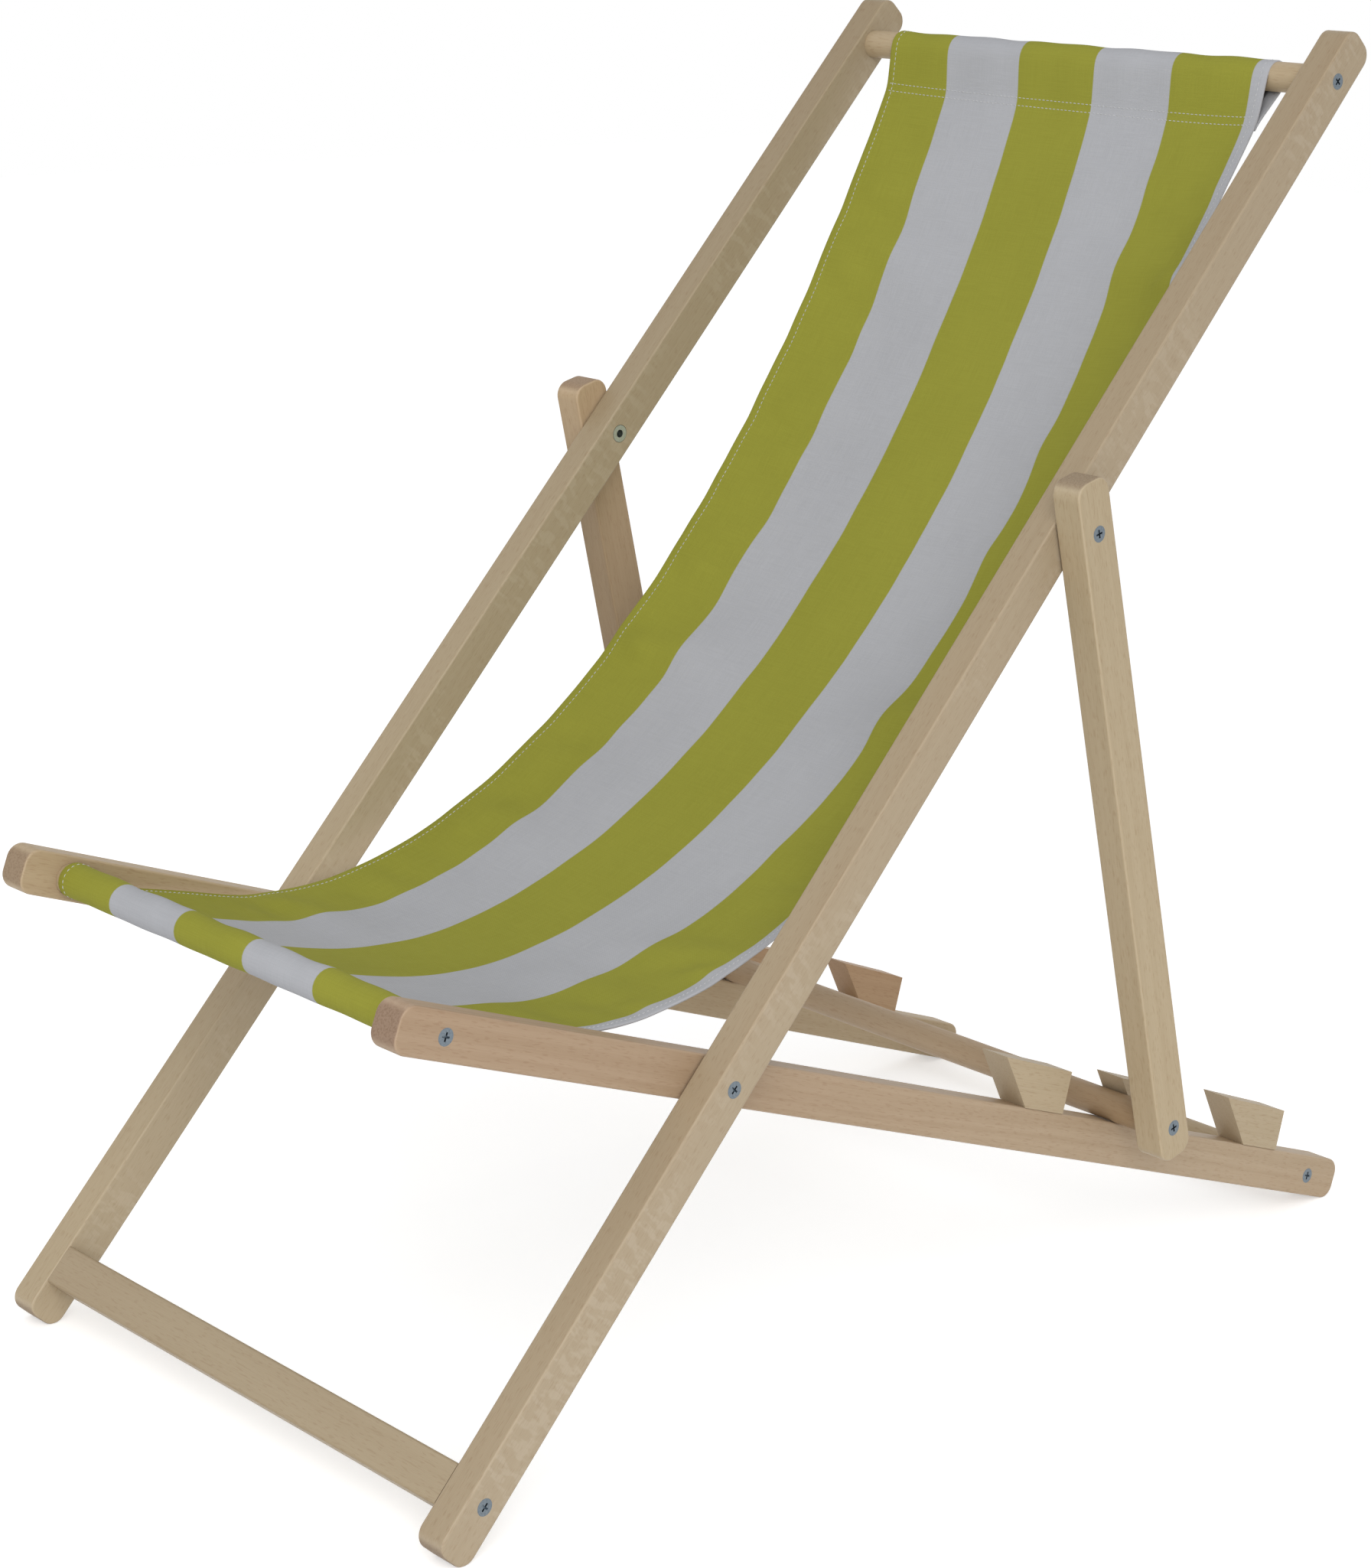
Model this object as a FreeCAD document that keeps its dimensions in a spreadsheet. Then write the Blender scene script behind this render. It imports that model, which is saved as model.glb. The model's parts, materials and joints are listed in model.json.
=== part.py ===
"""Child's folding deck chair: three hinged beech frames and a cloth sling, in millimetres.

+Z is up, the sitter faces -Y and X runs across the chair, with the sitter's left at +X.
The origin is on the floor, under the middle of the chair's box. Each frame has a plane of
its own: "along" runs with its timbers and "out" stands square to them. The back frame and
the seat frame start at the seat pivot, and the prop frame starts at the prop pivot.
"""
import FreeCAD, Part
import math
import os

import Sketcher
from FreeCAD import Placement, Rotation, Vector

# Driving sizes, in millimetres and degrees
SIZES = {
    # timber
    "stock_thick": 20.0,
    "stock_deep": 26.0,
    "end_radius": 9.0,
    "arris_radius": 1.5,
    "back_width": 400.0,
    # back rail, from its foot to its top
    "foot_to_slat": 32.0,
    "slat_to_pivot": 249.0,
    "pivot_to_prop": 370.0,
    "prop_to_head": 327.0,
    "head_to_top": 32.0,
    # seat rail, from its front to its rear
    "front_to_dowel": 32.0,
    "dowel_to_pivot": 190.0,
    "pivot_to_rear": 572.0,
    "rear_to_end": 31.0,
    # prop leg, from its top to its foot
    "top_to_prop": 32.0,
    "prop_reach": 384.6,
    "reach_to_end": 20.0,
    # round bars and their sockets
    "dowel_radius": 9.0,
    "socket_depth": 8.0,
    "socket_clearance": 0.1,
    # foot slat
    "slat_wide": 24.0,
    "slat_thick": 20.0,
    "slat_recess": 0.5,
    # notch blocks on the seat rails
    "first_block": 269.5,
    "block_pitch": 112.0,
    "block_high": 27.5,
    "block_rear_high": 25.7,
    "block_top": 63.0,
    "block_undercut": 29.0,
    "block_lean": 2.0,
    "rest_clearance": 0.3,
    # wood screws
    "screw_radius": 2.5,
    "screw_head_radius": 4.8,
    "screw_length": 45.0,
    "screw_tip": 5.0,
    "screw_clearance": 0.05,
    "recess_wide": 1.1,
    "recess_long": 5.0,
    "recess_deep": 1.6,
    "block_screw_length": 40.0,
    # pivot bolts, sleeve nuts and washers
    "sleeve_radius": 3.5,
    "bolt_radius": 2.5,
    "bolt_length": 28.0,
    "bolt_clearance": 0.05,
    "running_clearance": 0.05,
    "flange_radius": 5.5,
    "flange_thick": 1.2,
    "flange_clearance": 0.3,
    "washer_radius": 8.0,
    "washer_thick": 1.0,
    # sling
    "sling_thick": 1.2,
    "sling_side_gap": 4.0,
    "sling_clearance": 0.3,
    "sling_stitch": 28.5,
    "sling_sleeve_angle": 20.8,
    "sling_sleeve_front": -3.4,
    # the cloth's way at its seams, in the middle, and how far the taut hems turn it
    "sling_head_angle": 25.0,
    "sling_front_angle": -2.1,
    "sling_right_lift": 8.1,
    "sling_left_lift": 16.3,
    "sling_front_lift": 4.3,
    "sling_hem_reach": 40.0,
    # the upper arc's tangent, for a lower one of 1
    "sling_knee_share": 1.45,
    # standing
    "foot_flat": 0.5,
}
# How many notch blocks each seat rail has, and which of them holds the prop, from the front
BLOCKS = 3
HOLDING_BLOCK = 2

doc = FreeCAD.newDocument("deck_chair")
sheet = doc.addObject("Spreadsheet::Sheet", "Sizes")
for row, (alias, value) in enumerate(SIZES.items(), start=1):
    sheet.set(f"A{row}", alias)
    sheet.set(f"B{row}", str(value))
    sheet.setAlias(f"B{row}", alias)
doc.recompute()

# Faces of the timbers across the chair, from the middle plane
BACK_OUT = "Sizes.back_width / 2"
BACK_IN = f"{BACK_OUT} - Sizes.stock_thick"
SEAT_OUT = f"{BACK_IN} - Sizes.washer_thick"
SEAT_IN = f"{SEAT_OUT} - Sizes.stock_thick"
PROP_IN = f"{BACK_OUT} + Sizes.washer_thick"
PROP_OUT = f"{PROP_IN} + Sizes.stock_thick"
# Holes that screws and pins pass
SCREW_HOLE = "Sizes.screw_radius + Sizes.screw_clearance"
SCREW_HEAD_HIGH = "Sizes.screw_head_radius - Sizes.screw_radius"
PIN_HOLE = "Sizes.sleeve_radius + Sizes.running_clearance"


def number(expression):
    """The value of an expression of the sheet's sizes."""
    return float(sheet.evalExpression(str(expression)))


def size(alias):
    """One driving size."""
    return number(f"Sizes.{alias}")


def flat(along, out):
    """A point of a frame's plane."""
    return Vector(0, along, out)


def turned(vector, degrees):
    """A vector of the side plane, turned from +Y towards +Z."""
    return Rotation(Vector(1, 0, 0), degrees).multVec(vector)


def angle_of(vector):
    """The direction of a vector of the side plane, from +Y towards +Z, in degrees."""
    return math.degrees(math.atan2(vector.z, vector.y))


# Where the frames stand: the prop dowel lies on the seat rails, under the holding block's face

HALF_DEEP = size("stock_deep") / 2
HOLDING_CORNER = size("first_block") + (HOLDING_BLOCK - 1) * size("block_pitch")
UNDERCUT_ANGLE = math.atan2(size("block_high"), size("block_undercut"))
DOWEL_ROOM = size("dowel_radius") + size("rest_clearance")
DOWEL_REST = flat(HOLDING_CORNER - DOWEL_ROOM / math.tan(UNDERCUT_ANGLE / 2), HALF_DEEP + DOWEL_ROOM)


def back_over_seat():
    """The angle from the seat rails up to the back rails, from the three sides that meet the prop."""
    base = DOWEL_REST.Length
    rail = size("pivot_to_prop")
    leg = size("prop_reach")
    opening = math.acos((base**2 + rail**2 - leg**2) / (2 * base * rail))
    return math.degrees(opening) + angle_of(DOWEL_REST)


def lowest(along, degrees):
    """The lowest reach of a rail end whose corner arcs are centred at this place along the rail."""
    radius = size("end_radius")
    corners = [turned(flat(along, out), degrees).z for out in (radius - HALF_DEEP, HALF_DEEP - radius)]
    return min(corners) - radius


OPENING = back_over_seat()
FOOT_ARC = size("end_radius") - size("foot_to_slat") - size("slat_to_pivot")
REAR_ARC = size("pivot_to_rear") + size("rear_to_end") - size("end_radius")


def level_lean():
    """The back rails' angle at which their feet and the seat rails' rear ends stand level."""
    low, high = 0.0, 90.0
    while high - low > 1e-9:
        lean = (low + high) / 2
        if lowest(FOOT_ARC, lean) > lowest(REAR_ARC, lean - OPENING):
            low = lean
        else:
            high = lean
    return lean


LEAN = level_lean()
SEAT_ANGLE = LEAN - OPENING
PIVOT_HIGH = -lowest(FOOT_ARC, LEAN) - size("foot_flat")
PROP_PIVOT = turned(flat(size("pivot_to_prop"), 0), LEAN)
PROP_ANGLE = angle_of(turned(DOWEL_REST, SEAT_ANGLE) - PROP_PIVOT)


def furthest(along, degrees, way):
    """How far a rail end reaches along Y, forwards with way -1 and rearwards with way 1."""
    radius = size("end_radius")
    corners = [way * turned(flat(along, out), degrees).y for out in (radius - HALF_DEEP, HALF_DEEP - radius)]
    return way * (max(corners) + radius)


FRONT_ARC = size("end_radius") - size("front_to_dowel") - size("dowel_to_pivot")
TOP_ARC = size("pivot_to_prop") + size("prop_to_head") + size("head_to_top") - size("end_radius")
FRONT_REACH = min(furthest(FRONT_ARC, SEAT_ANGLE, -1), furthest(FOOT_ARC, LEAN, -1))
REAR_REACH = max(furthest(REAR_ARC, SEAT_ANGLE, 1), furthest(TOP_ARC, LEAN, 1))
PIVOT = Vector(0, -(FRONT_REACH + REAR_REACH) / 2, PIVOT_HIGH)

ACROSS = Vector(1, 0, 0)
BACK = Placement(PIVOT, Rotation(ACROSS, LEAN))
SEAT = Placement(PIVOT, Rotation(ACROSS, SEAT_ANGLE))
PROP = Placement(PIVOT + PROP_PIVOT, Rotation(ACROSS, PROP_ANGLE))
# The box that cuts the standing flats is this many rail depths long, to reach past a rail end
FLOOR_TOOL_DEPTHS = 2.4
# How far two unit vectors' parts may differ and still count as the same
SAME_WAY = 1e-6

nodes = []


def node(thing, label):
    """Keeps an object as a sub-part under its name."""
    thing.Label = label
    nodes.append(thing)
    return thing


def placed(frame, along=0.0, out=0.0):
    """A place in a frame's plane."""
    return frame.multiply(Placement(flat(along, out), Rotation()))


def bind(thing, **expressions):
    """Ties properties to expressions of the sizes."""
    for name, expression in expressions.items():
        thing.setExpression(name, expression)


def mirrored(thing, label):
    """The same piece on the other side of the chair."""
    other = doc.addObject("Part::Mirroring", label)
    other.Source = thing
    other.Normal = ACROSS
    return other


# Features that the bodies share


def plane(body, role):
    """One of a body's own origin planes."""
    return next(item for item in body.Origin.OriginFeatures if item.Role == role)


def attach(body, feature, role="YZ_Plane"):
    """Seats a feature on one of its body's planes; on YZ_Plane it lies in the frame's plane, facing +X."""
    feature.AttachmentSupport = [(plane(body, role), "")]
    feature.MapMode = "FlatFace"


def new_body(label, frame, along=0.0, out=0.0):
    """An empty body at a place in a frame's plane."""
    body = doc.addObject("PartDesign::Body", label)
    body.Placement = placed(frame, along, out)
    return node(body, label)


def named(sketch, constraint, name, expression):
    """Adds a dimension to a sketch and ties it to an expression."""
    sketch.renameConstraint(sketch.addConstraint(constraint), name)
    sketch.setExpression(f"Constraints.{name}", expression)


def rounded_outline(body, behind, ahead, deep, radius):
    """A sketch of a bar's side: a rectangle about the along axis with four round corners."""
    sketch = body.newObject("Sketcher::SketchObject", f"{body.Name}_outline")
    attach(body, sketch)
    first = -number(behind)
    last = number(ahead)
    half = number(deep) / 2
    bend = number(radius)
    ends = [
        (Vector(first + bend, -half, 0), Vector(last - bend, -half, 0)),
        (Vector(last, bend - half, 0), Vector(last, half - bend, 0)),
        (Vector(last - bend, half, 0), Vector(first + bend, half, 0)),
        (Vector(first, half - bend, 0), Vector(first, bend - half, 0)),
    ]
    centres = [
        Vector(last - bend, bend - half, 0),
        Vector(last - bend, half - bend, 0),
        Vector(first + bend, half - bend, 0),
        Vector(first + bend, bend - half, 0),
    ]
    for turn, (line, centre) in enumerate(zip(ends, centres)):
        sketch.addGeometry(Part.LineSegment(*line))
        circle = Part.Circle(centre, Vector(0, 0, 1), bend)
        start = (turn - 1) * math.pi / 2
        sketch.addGeometry(Part.ArcOfCircle(circle, start, start + math.pi / 2))
    for piece in range(8):
        sketch.addConstraint(Sketcher.Constraint("Tangent", piece, 2, (piece + 1) % 8, 1))
    for line, way in ((0, "Horizontal"), (2, "Vertical"), (4, "Horizontal"), (6, "Vertical")):
        sketch.addConstraint(Sketcher.Constraint(way, line))
    for arc in (3, 5, 7):
        sketch.addConstraint(Sketcher.Constraint("Equal", 1, arc))
    named(sketch, Sketcher.Constraint("Radius", 1, bend), "corner", radius)
    named(sketch, Sketcher.Constraint("DistanceX", 6, 1, -1, 1, -first), "behind", behind)
    named(sketch, Sketcher.Constraint("DistanceX", -1, 1, 2, 1, last), "ahead", ahead)
    named(sketch, Sketcher.Constraint("DistanceY", 0, 1, -1, 1, half), "below", f"({deep}) / 2")
    named(sketch, Sketcher.Constraint("DistanceY", -1, 1, 4, 1, half), "above", f"({deep}) / 2")
    return sketch


def pad(body, sketch, length, start=None):
    """Pads a side sketch across the chair, from a face's place or, with none, evenly about the middle."""
    feature = body.newObject("PartDesign::Pad", f"{body.Name}_pad")
    feature.Profile = sketch
    if start is None:
        feature.Midplane = True
    else:
        sketch.setExpression("AttachmentOffset.Base.z", start)
    bind(feature, Length=length)
    sketch.Visibility = False
    doc.recompute()
    return feature


def round_arrises(body, feature):
    """Rounds the outlines of a bar's two side faces."""
    sides = [
        f"Face{index}"
        for index, face in enumerate(feature.Shape.Faces, start=1)
        if isinstance(face.Surface, Part.Plane) and abs(face.normalAt(0, 0).x) > 1 - SAME_WAY
    ]
    fillet = body.newObject("PartDesign::Fillet", f"{body.Name}_arrises")
    fillet.Base = (feature, sides)
    bind(fillet, Radius="Sizes.arris_radius")


def bore(body, name, radius, height, across, along="0", out="0", role="YZ_Plane"):
    """A round hole; on YZ_Plane it runs along +X from its across place, on XY_Plane outwards from out."""
    hole = body.newObject("PartDesign::SubtractiveCylinder", f"{body.Name}_{name}")
    attach(body, hole, role)
    place = (along, out, across) if role == "YZ_Plane" else (across, along, out)
    for axis, expression in zip("xyz", place):
        hole.setExpression(f"AttachmentOffset.Base.{axis}", expression)
    bind(hole, Radius=radius, Height=height)


def sink(body, name, hole, head, across, along="0", out="0", role="YZ_Plane", facing=1):
    """A 90 degree countersink whose mouth is at its across place, or at out on XY_Plane, facing +1 or -1."""
    cone = body.newObject("PartDesign::SubtractiveCone", f"{body.Name}_{name}")
    attach(body, cone, role)
    deep = f"(({head}) - ({hole}))"
    mouth = across if role == "YZ_Plane" else out
    level = f"{mouth} - {deep}" if facing > 0 else mouth
    place = (along, out, level) if role == "YZ_Plane" else (across, along, level)
    for axis, expression in zip("xyz", place):
        cone.setExpression(f"AttachmentOffset.Base.{axis}", expression)
    first, last = (hole, head) if facing > 0 else (head, hole)
    bind(cone, Radius1=first, Radius2=last, Height=deep)


HEAD_HOLE = "Sizes.screw_head_radius + Sizes.screw_clearance"


def dowel_joint(body, name, outer, inner, along):
    """A blind socket for a round bar, and the countersunk hole for the screw into the bar's end."""
    socket = "Sizes.dowel_radius + Sizes.socket_clearance"
    bore(body, f"{name}_socket", socket, "Sizes.socket_depth", inner, along)
    screw_joint(body, name, outer, inner, along)


def screw_joint(body, name, outer, inner, along):
    """A countersunk screw hole through a rail, from its outer face."""
    bore(body, f"{name}_hole", SCREW_HOLE, "Sizes.stock_thick", inner, along)
    sink(body, f"{name}_sink", SCREW_HOLE, HEAD_HOLE, outer, along)


def stand_on_floor(body, frame, arc):
    """Cuts the small flat on which a rounded rail end stands."""
    tool = body.newObject("PartDesign::SubtractiveBox", f"{body.Name}_standing_flat")
    attach(body, tool)
    reach = FLOOR_TOOL_DEPTHS * size("stock_deep")
    foot = frame.multVec(flat(arc, 0))
    corner = frame.inverse().multVec(Vector(0, foot.y - reach / 2, -reach))
    turn = Rotation(Vector(0, 0, 1), -angle_of(frame.Rotation.multVec(flat(1, 0))))
    across = number(SEAT_IN) - reach
    tool.AttachmentOffset = Placement(Vector(corner.y, corner.z, across), turn)
    tool.Length = reach
    tool.Width = reach
    tool.Height = number(BACK_OUT) - across + reach


def rail(label, frame, behind, ahead, inner):
    """A rail with rounded ends and arrises; the left one, standing from its inner face outwards."""
    body = new_body(label, frame)
    sketch = rounded_outline(body, behind, ahead, "Sizes.stock_deep", "Sizes.end_radius")
    feature = pad(body, sketch, "Sizes.stock_thick", inner)
    round_arrises(body, feature)
    return body


def round_bar(label, frame, along, inner, out=0.0):
    """A round bar from socket to socket, with a screw hole in each end."""
    body = new_body(label, frame, along, out)
    sketch = body.newObject("Sketcher::SketchObject", f"{label}_circle")
    attach(body, sketch)
    sketch.addGeometry(Part.Circle(Vector(), Vector(0, 0, 1), size("dowel_radius")))
    sketch.addConstraint(Sketcher.Constraint("Coincident", 0, 3, -1, 1))
    named(sketch, Sketcher.Constraint("Radius", 0, size("dowel_radius")), "radius", "Sizes.dowel_radius")
    reach = f"({inner} + Sizes.socket_depth)"
    pad(body, sketch, f"2 * {reach}")
    end_holes(body, reach, f"{inner} + Sizes.stock_thick")
    return body


def end_holes(body, reach, outer):
    """The screw's holes in the two ends of a cross piece that reaches this far to each side."""
    deep = f"({reach} - ({outer} - Sizes.screw_length - Sizes.screw_clearance))"
    bore(body, "left_hole", SCREW_HOLE, deep, f"{reach} - {deep}")
    bore(body, "right_hole", SCREW_HOLE, deep, f"-{reach}")


# Fasteners, made from plain solids on the sitter's left and mirrored to the right


def lathe_part(kind, frame, across, along, out, toward, **sizes):
    """A cylinder or cone with its axis across the chair, from its across place towards +1 or -1."""
    part = doc.addObject(kind)
    turn = Rotation(Vector(0, 0, 1), Vector(toward, 0, 0))
    part.Placement = frame.multiply(Placement(Vector(number(across), along, out), turn))
    bind(part, **sizes)
    return part


def fused(pieces):
    """Several solids as one."""
    fuse = doc.addObject("Part::MultiFuse")
    fuse.Shapes = pieces
    return fuse


def cross_recess(head, frame, across, along, out):
    """Cuts a cross into a screw's head, whose flat top is at its across place and faces +X."""
    slots = []
    for long_axis in ("Width", "Height"):
        slot = doc.addObject("Part::Box")
        short_axis = "Height" if long_axis == "Width" else "Width"
        bind(slot, Length="Sizes.recess_deep")
        slot.setExpression(long_axis, "Sizes.recess_long")
        slot.setExpression(short_axis, "Sizes.recess_wide")
        wide = size("recess_long") if long_axis == "Width" else size("recess_wide")
        high = size("recess_wide") if long_axis == "Width" else size("recess_long")
        corner = Vector(number(across) - size("recess_deep"), along - wide / 2, out - high / 2)
        slot.Placement = frame.multiply(Placement(corner, Rotation()))
        slots.append(slot)
    cut = doc.addObject("Part::Cut")
    cut.Base = head
    cut.Tool = fused(slots)
    return cut


def pair(thing, label):
    """A piece and its mirror image as one node of two solids."""
    group = doc.addObject("Part::Compound", label)
    group.Links = [thing, mirrored(thing, f"{label}_mirror")]
    return node(group, label)


def screw_solid(frame, outer, along, length="Sizes.screw_length", out=0.0):
    """A countersunk wood screw across the chair, its head flush at the outer face, pointing inwards."""
    tip = f"({outer}) - ({length})"
    head = lathe_part(
        "Part::Cone", frame, outer, along, out, -1,
        Radius1="Sizes.screw_head_radius", Radius2="Sizes.screw_radius", Height=SCREW_HEAD_HIGH,
    )
    shank = lathe_part(
        "Part::Cylinder", frame, f"{tip} + Sizes.screw_tip", along, out, 1,
        Radius="Sizes.screw_radius", Height=f"{length} - Sizes.screw_tip - ({SCREW_HEAD_HIGH})",
    )
    point = lathe_part(
        "Part::Cone", frame, tip, along, out, 1,
        Radius1="0", Radius2="Sizes.screw_radius", Height="Sizes.screw_tip",
    )
    return cross_recess(fused([head, shank, point]), frame, outer, along, out)


def pivot_pin(name, frame, outer, inner, along=0.0):
    """A pivot's bolts and sleeve nuts: the bolt's head at the outer face, the nut's flange at the inner."""
    head = lathe_part(
        "Part::Cone", frame, outer, along, 0.0, -1,
        Radius1="Sizes.screw_head_radius", Radius2="Sizes.bolt_radius",
        Height="Sizes.screw_head_radius - Sizes.bolt_radius",
    )
    shank = lathe_part(
        "Part::Cylinder", frame, outer, along, 0.0, -1,
        Radius="Sizes.bolt_radius", Height="Sizes.bolt_length",
    )
    pair(cross_recess(fused([head, shank]), frame, outer, along, 0.0), f"{name}_bolts")
    sleeve_long = f"{outer} - ({inner}) - (Sizes.screw_head_radius - Sizes.bolt_radius)"
    flange = lathe_part(
        "Part::Cylinder", frame, inner, along, 0.0, 1,
        Radius="Sizes.flange_radius", Height="Sizes.flange_thick",
    )
    sleeve = lathe_part(
        "Part::Cylinder", frame, inner, along, 0.0, 1,
        Radius="Sizes.sleeve_radius", Height=sleeve_long,
    )
    thread = lathe_part(
        "Part::Cylinder", frame, inner, along, 0.0, 1,
        Radius="Sizes.bolt_radius + Sizes.bolt_clearance", Height=sleeve_long,
    )
    nut = doc.addObject("Part::Cut")
    nut.Base = fused([flange, sleeve])
    nut.Tool = thread
    pair(nut, f"{name}_nuts")


def washers(name, frame, inner, along=0.0):
    """The washers that keep two rails apart at a pivot."""
    disc = lathe_part(
        "Part::Cylinder", frame, inner, along, 0.0, 1,
        Radius="Sizes.washer_radius", Height="Sizes.washer_thick",
    )
    hole = lathe_part(
        "Part::Cylinder", frame, inner, along, 0.0, 1,
        Radius=PIN_HOLE, Height="Sizes.washer_thick",
    )
    ring = doc.addObject("Part::Cut")
    ring.Base = disc
    ring.Tool = hole
    pair(ring, f"{name}_washers")


def pivot_holes(body, name, inner, along, head_face=None, flange=False):
    """A pin's hole through a rail, with the bolt head's countersink or the nut flange's recess."""
    bore(body, f"{name}_hole", PIN_HOLE, "Sizes.stock_thick", inner, along)
    if head_face:
        sink(body, f"{name}_sink", "Sizes.bolt_radius + Sizes.bolt_clearance", HEAD_HOLE, head_face, along)
    if flange:
        recess = "Sizes.flange_radius + Sizes.flange_clearance"
        bore(body, f"{name}_recess", recess, "Sizes.flange_thick", inner, along)


# Back frame: two long rails, the head bar that the sling hangs from, and the foot slat

SLAT_AT = "-Sizes.slat_to_pivot"
SLAT_OUT = "Sizes.stock_deep / 2 - Sizes.slat_recess - Sizes.slat_thick / 2"
HEAD_AT = "Sizes.pivot_to_prop + Sizes.prop_to_head"


def build_back_frame():
    """The frame that leans back and stands on its feet."""
    behind = "Sizes.slat_to_pivot + Sizes.foot_to_slat"
    left = rail("back_rail_left", BACK, behind, f"{HEAD_AT} + Sizes.head_to_top", BACK_IN)
    dowel_joint(left, "head", BACK_OUT, BACK_IN, HEAD_AT)
    screw_joint(left, "slat", BACK_OUT, BACK_IN, SLAT_AT)
    pivot_holes(left, "seat_pivot", BACK_IN, "0", head_face=BACK_OUT)
    pivot_holes(left, "prop_pivot", BACK_IN, "Sizes.pivot_to_prop", flange=True)
    stand_on_floor(left, BACK, FOOT_ARC)
    node(mirrored(left, "back_rail_right"), "back_rail_right")
    round_bar("head_dowel", BACK, number(HEAD_AT), BACK_IN)
    build_slat()
    pair(screw_solid(BACK, BACK_OUT, number(HEAD_AT)), "head_dowel_screws")
    pair(screw_solid(BACK, BACK_OUT, number(SLAT_AT)), "foot_slat_screws")
    pivot_pin("seat_pivot", BACK, BACK_OUT, SEAT_IN)
    washers("seat_pivot", BACK, SEAT_OUT)


def build_slat():
    """The flat slat between the feet, its front just behind the rails' fronts."""
    slat = new_body("foot_slat", BACK, number(SLAT_AT), number(SLAT_OUT))
    half = "Sizes.slat_wide / 2"
    sketch = rounded_outline(slat, half, half, "Sizes.slat_thick", "Sizes.arris_radius")
    pad(slat, sketch, f"2 * ({BACK_IN})")
    deep = f"({BACK_IN} - ({BACK_OUT} - Sizes.screw_length - Sizes.screw_clearance))"
    for name, across in (("left_hole", f"{BACK_IN} - {deep}"), ("right_hole", f"-({BACK_IN})")):
        bore(slat, name, SCREW_HOLE, deep, across, out=f"-({SLAT_OUT})")


# Seat frame: two rails inside the back rails, the front bar, the rear bar and the notch blocks

FRONT_AT = "-Sizes.dowel_to_pivot"
REAR_AT = "Sizes.pivot_to_rear"
RAIL_MIDDLE = f"{SEAT_IN} + Sizes.stock_thick / 2"
BLOCK_FOOT = "(Sizes.block_top - Sizes.block_undercut + Sizes.block_lean)"


def block_corner(index):
    """Where a block's front face meets the seat rail, as an expression."""
    return f"Sizes.first_block + {index} * Sizes.block_pitch"


def build_seat_frame():
    """The frame that carries the sling's front and the notches."""
    behind = "Sizes.dowel_to_pivot + Sizes.front_to_dowel"
    left = rail("seat_rail_left", SEAT, behind, f"{REAR_AT} + Sizes.rear_to_end", SEAT_IN)
    dowel_joint(left, "front", SEAT_OUT, SEAT_IN, FRONT_AT)
    dowel_joint(left, "rear", SEAT_OUT, SEAT_IN, REAR_AT)
    pivot_holes(left, "pivot", SEAT_IN, "0", flange=True)
    for index in range(BLOCKS):
        middle = f"{block_corner(index)} + {BLOCK_FOOT} / 2"
        below = "-Sizes.stock_deep / 2"
        bore(left, f"block_{index}", SCREW_HOLE, "Sizes.stock_deep", RAIL_MIDDLE, middle, below, "XY_Plane")
        sink(left, f"block_sink_{index}", SCREW_HOLE, HEAD_HOLE, RAIL_MIDDLE, middle, below, "XY_Plane", -1)
    stand_on_floor(left, SEAT, REAR_ARC)
    node(mirrored(left, "seat_rail_right"), "seat_rail_right")
    round_bar("front_dowel", SEAT, number(FRONT_AT), SEAT_IN)
    round_bar("rear_dowel", SEAT, number(REAR_AT), SEAT_IN)
    for index in range(BLOCKS):
        block = build_block(index)
        label = f"notch_block_right_{index + 1}"
        node(mirrored(block, label), label)
    build_block_screws()
    pair(screw_solid(SEAT, SEAT_OUT, number(FRONT_AT)), "front_dowel_screws")
    pair(screw_solid(SEAT, SEAT_OUT, number(REAR_AT)), "rear_dowel_screws")


def build_block(index):
    """A notch block whose front face leans forwards over the notch and whose top falls to the rear."""
    block = new_body(f"notch_block_left_{index + 1}", SEAT, number(block_corner(index)), HALF_DEEP)
    sketch = block.newObject("Sketcher::SketchObject", f"{block.Name}_side")
    attach(block, sketch)
    high = size("block_high")
    rear_high = size("block_rear_high")
    front = -size("block_undercut")
    corners = [
        Vector(0, 0, 0),
        Vector(front + size("block_top") + size("block_lean"), 0, 0),
        Vector(front + size("block_top"), rear_high, 0),
        Vector(front, high, 0),
    ]
    for index_from, corner in enumerate(corners):
        sketch.addGeometry(Part.LineSegment(corner, corners[(index_from + 1) % 4]))
    for line in range(4):
        sketch.addConstraint(Sketcher.Constraint("Coincident", line, 2, (line + 1) % 4, 1))
    sketch.addConstraint(Sketcher.Constraint("Coincident", 0, 1, -1, 1))
    sketch.addConstraint(Sketcher.Constraint("Horizontal", 0))
    named(sketch, Sketcher.Constraint("DistanceX", 0, 1, 0, 2, corners[1].x), "foot", BLOCK_FOOT)
    named(sketch, Sketcher.Constraint("DistanceY", 1, 1, 1, 2, rear_high), "rear", "Sizes.block_rear_high")
    named(sketch, Sketcher.Constraint("DistanceX", 2, 2, 2, 1, size("block_top")), "top", "Sizes.block_top")
    named(sketch, Sketcher.Constraint("DistanceX", 3, 1, 3, 2, -front), "undercut", "Sizes.block_undercut")
    named(sketch, Sketcher.Constraint("DistanceY", 3, 2, 3, 1, high), "high", "Sizes.block_high")
    pad(block, sketch, "Sizes.stock_thick", SEAT_IN)
    deep = f"Sizes.block_screw_length - Sizes.stock_deep + {SCREW_HOLE}"
    bore(block, "screw_hole", SCREW_HOLE, deep, RAIL_MIDDLE, f"{BLOCK_FOOT} / 2", "0", "XY_Plane")
    return block


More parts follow.
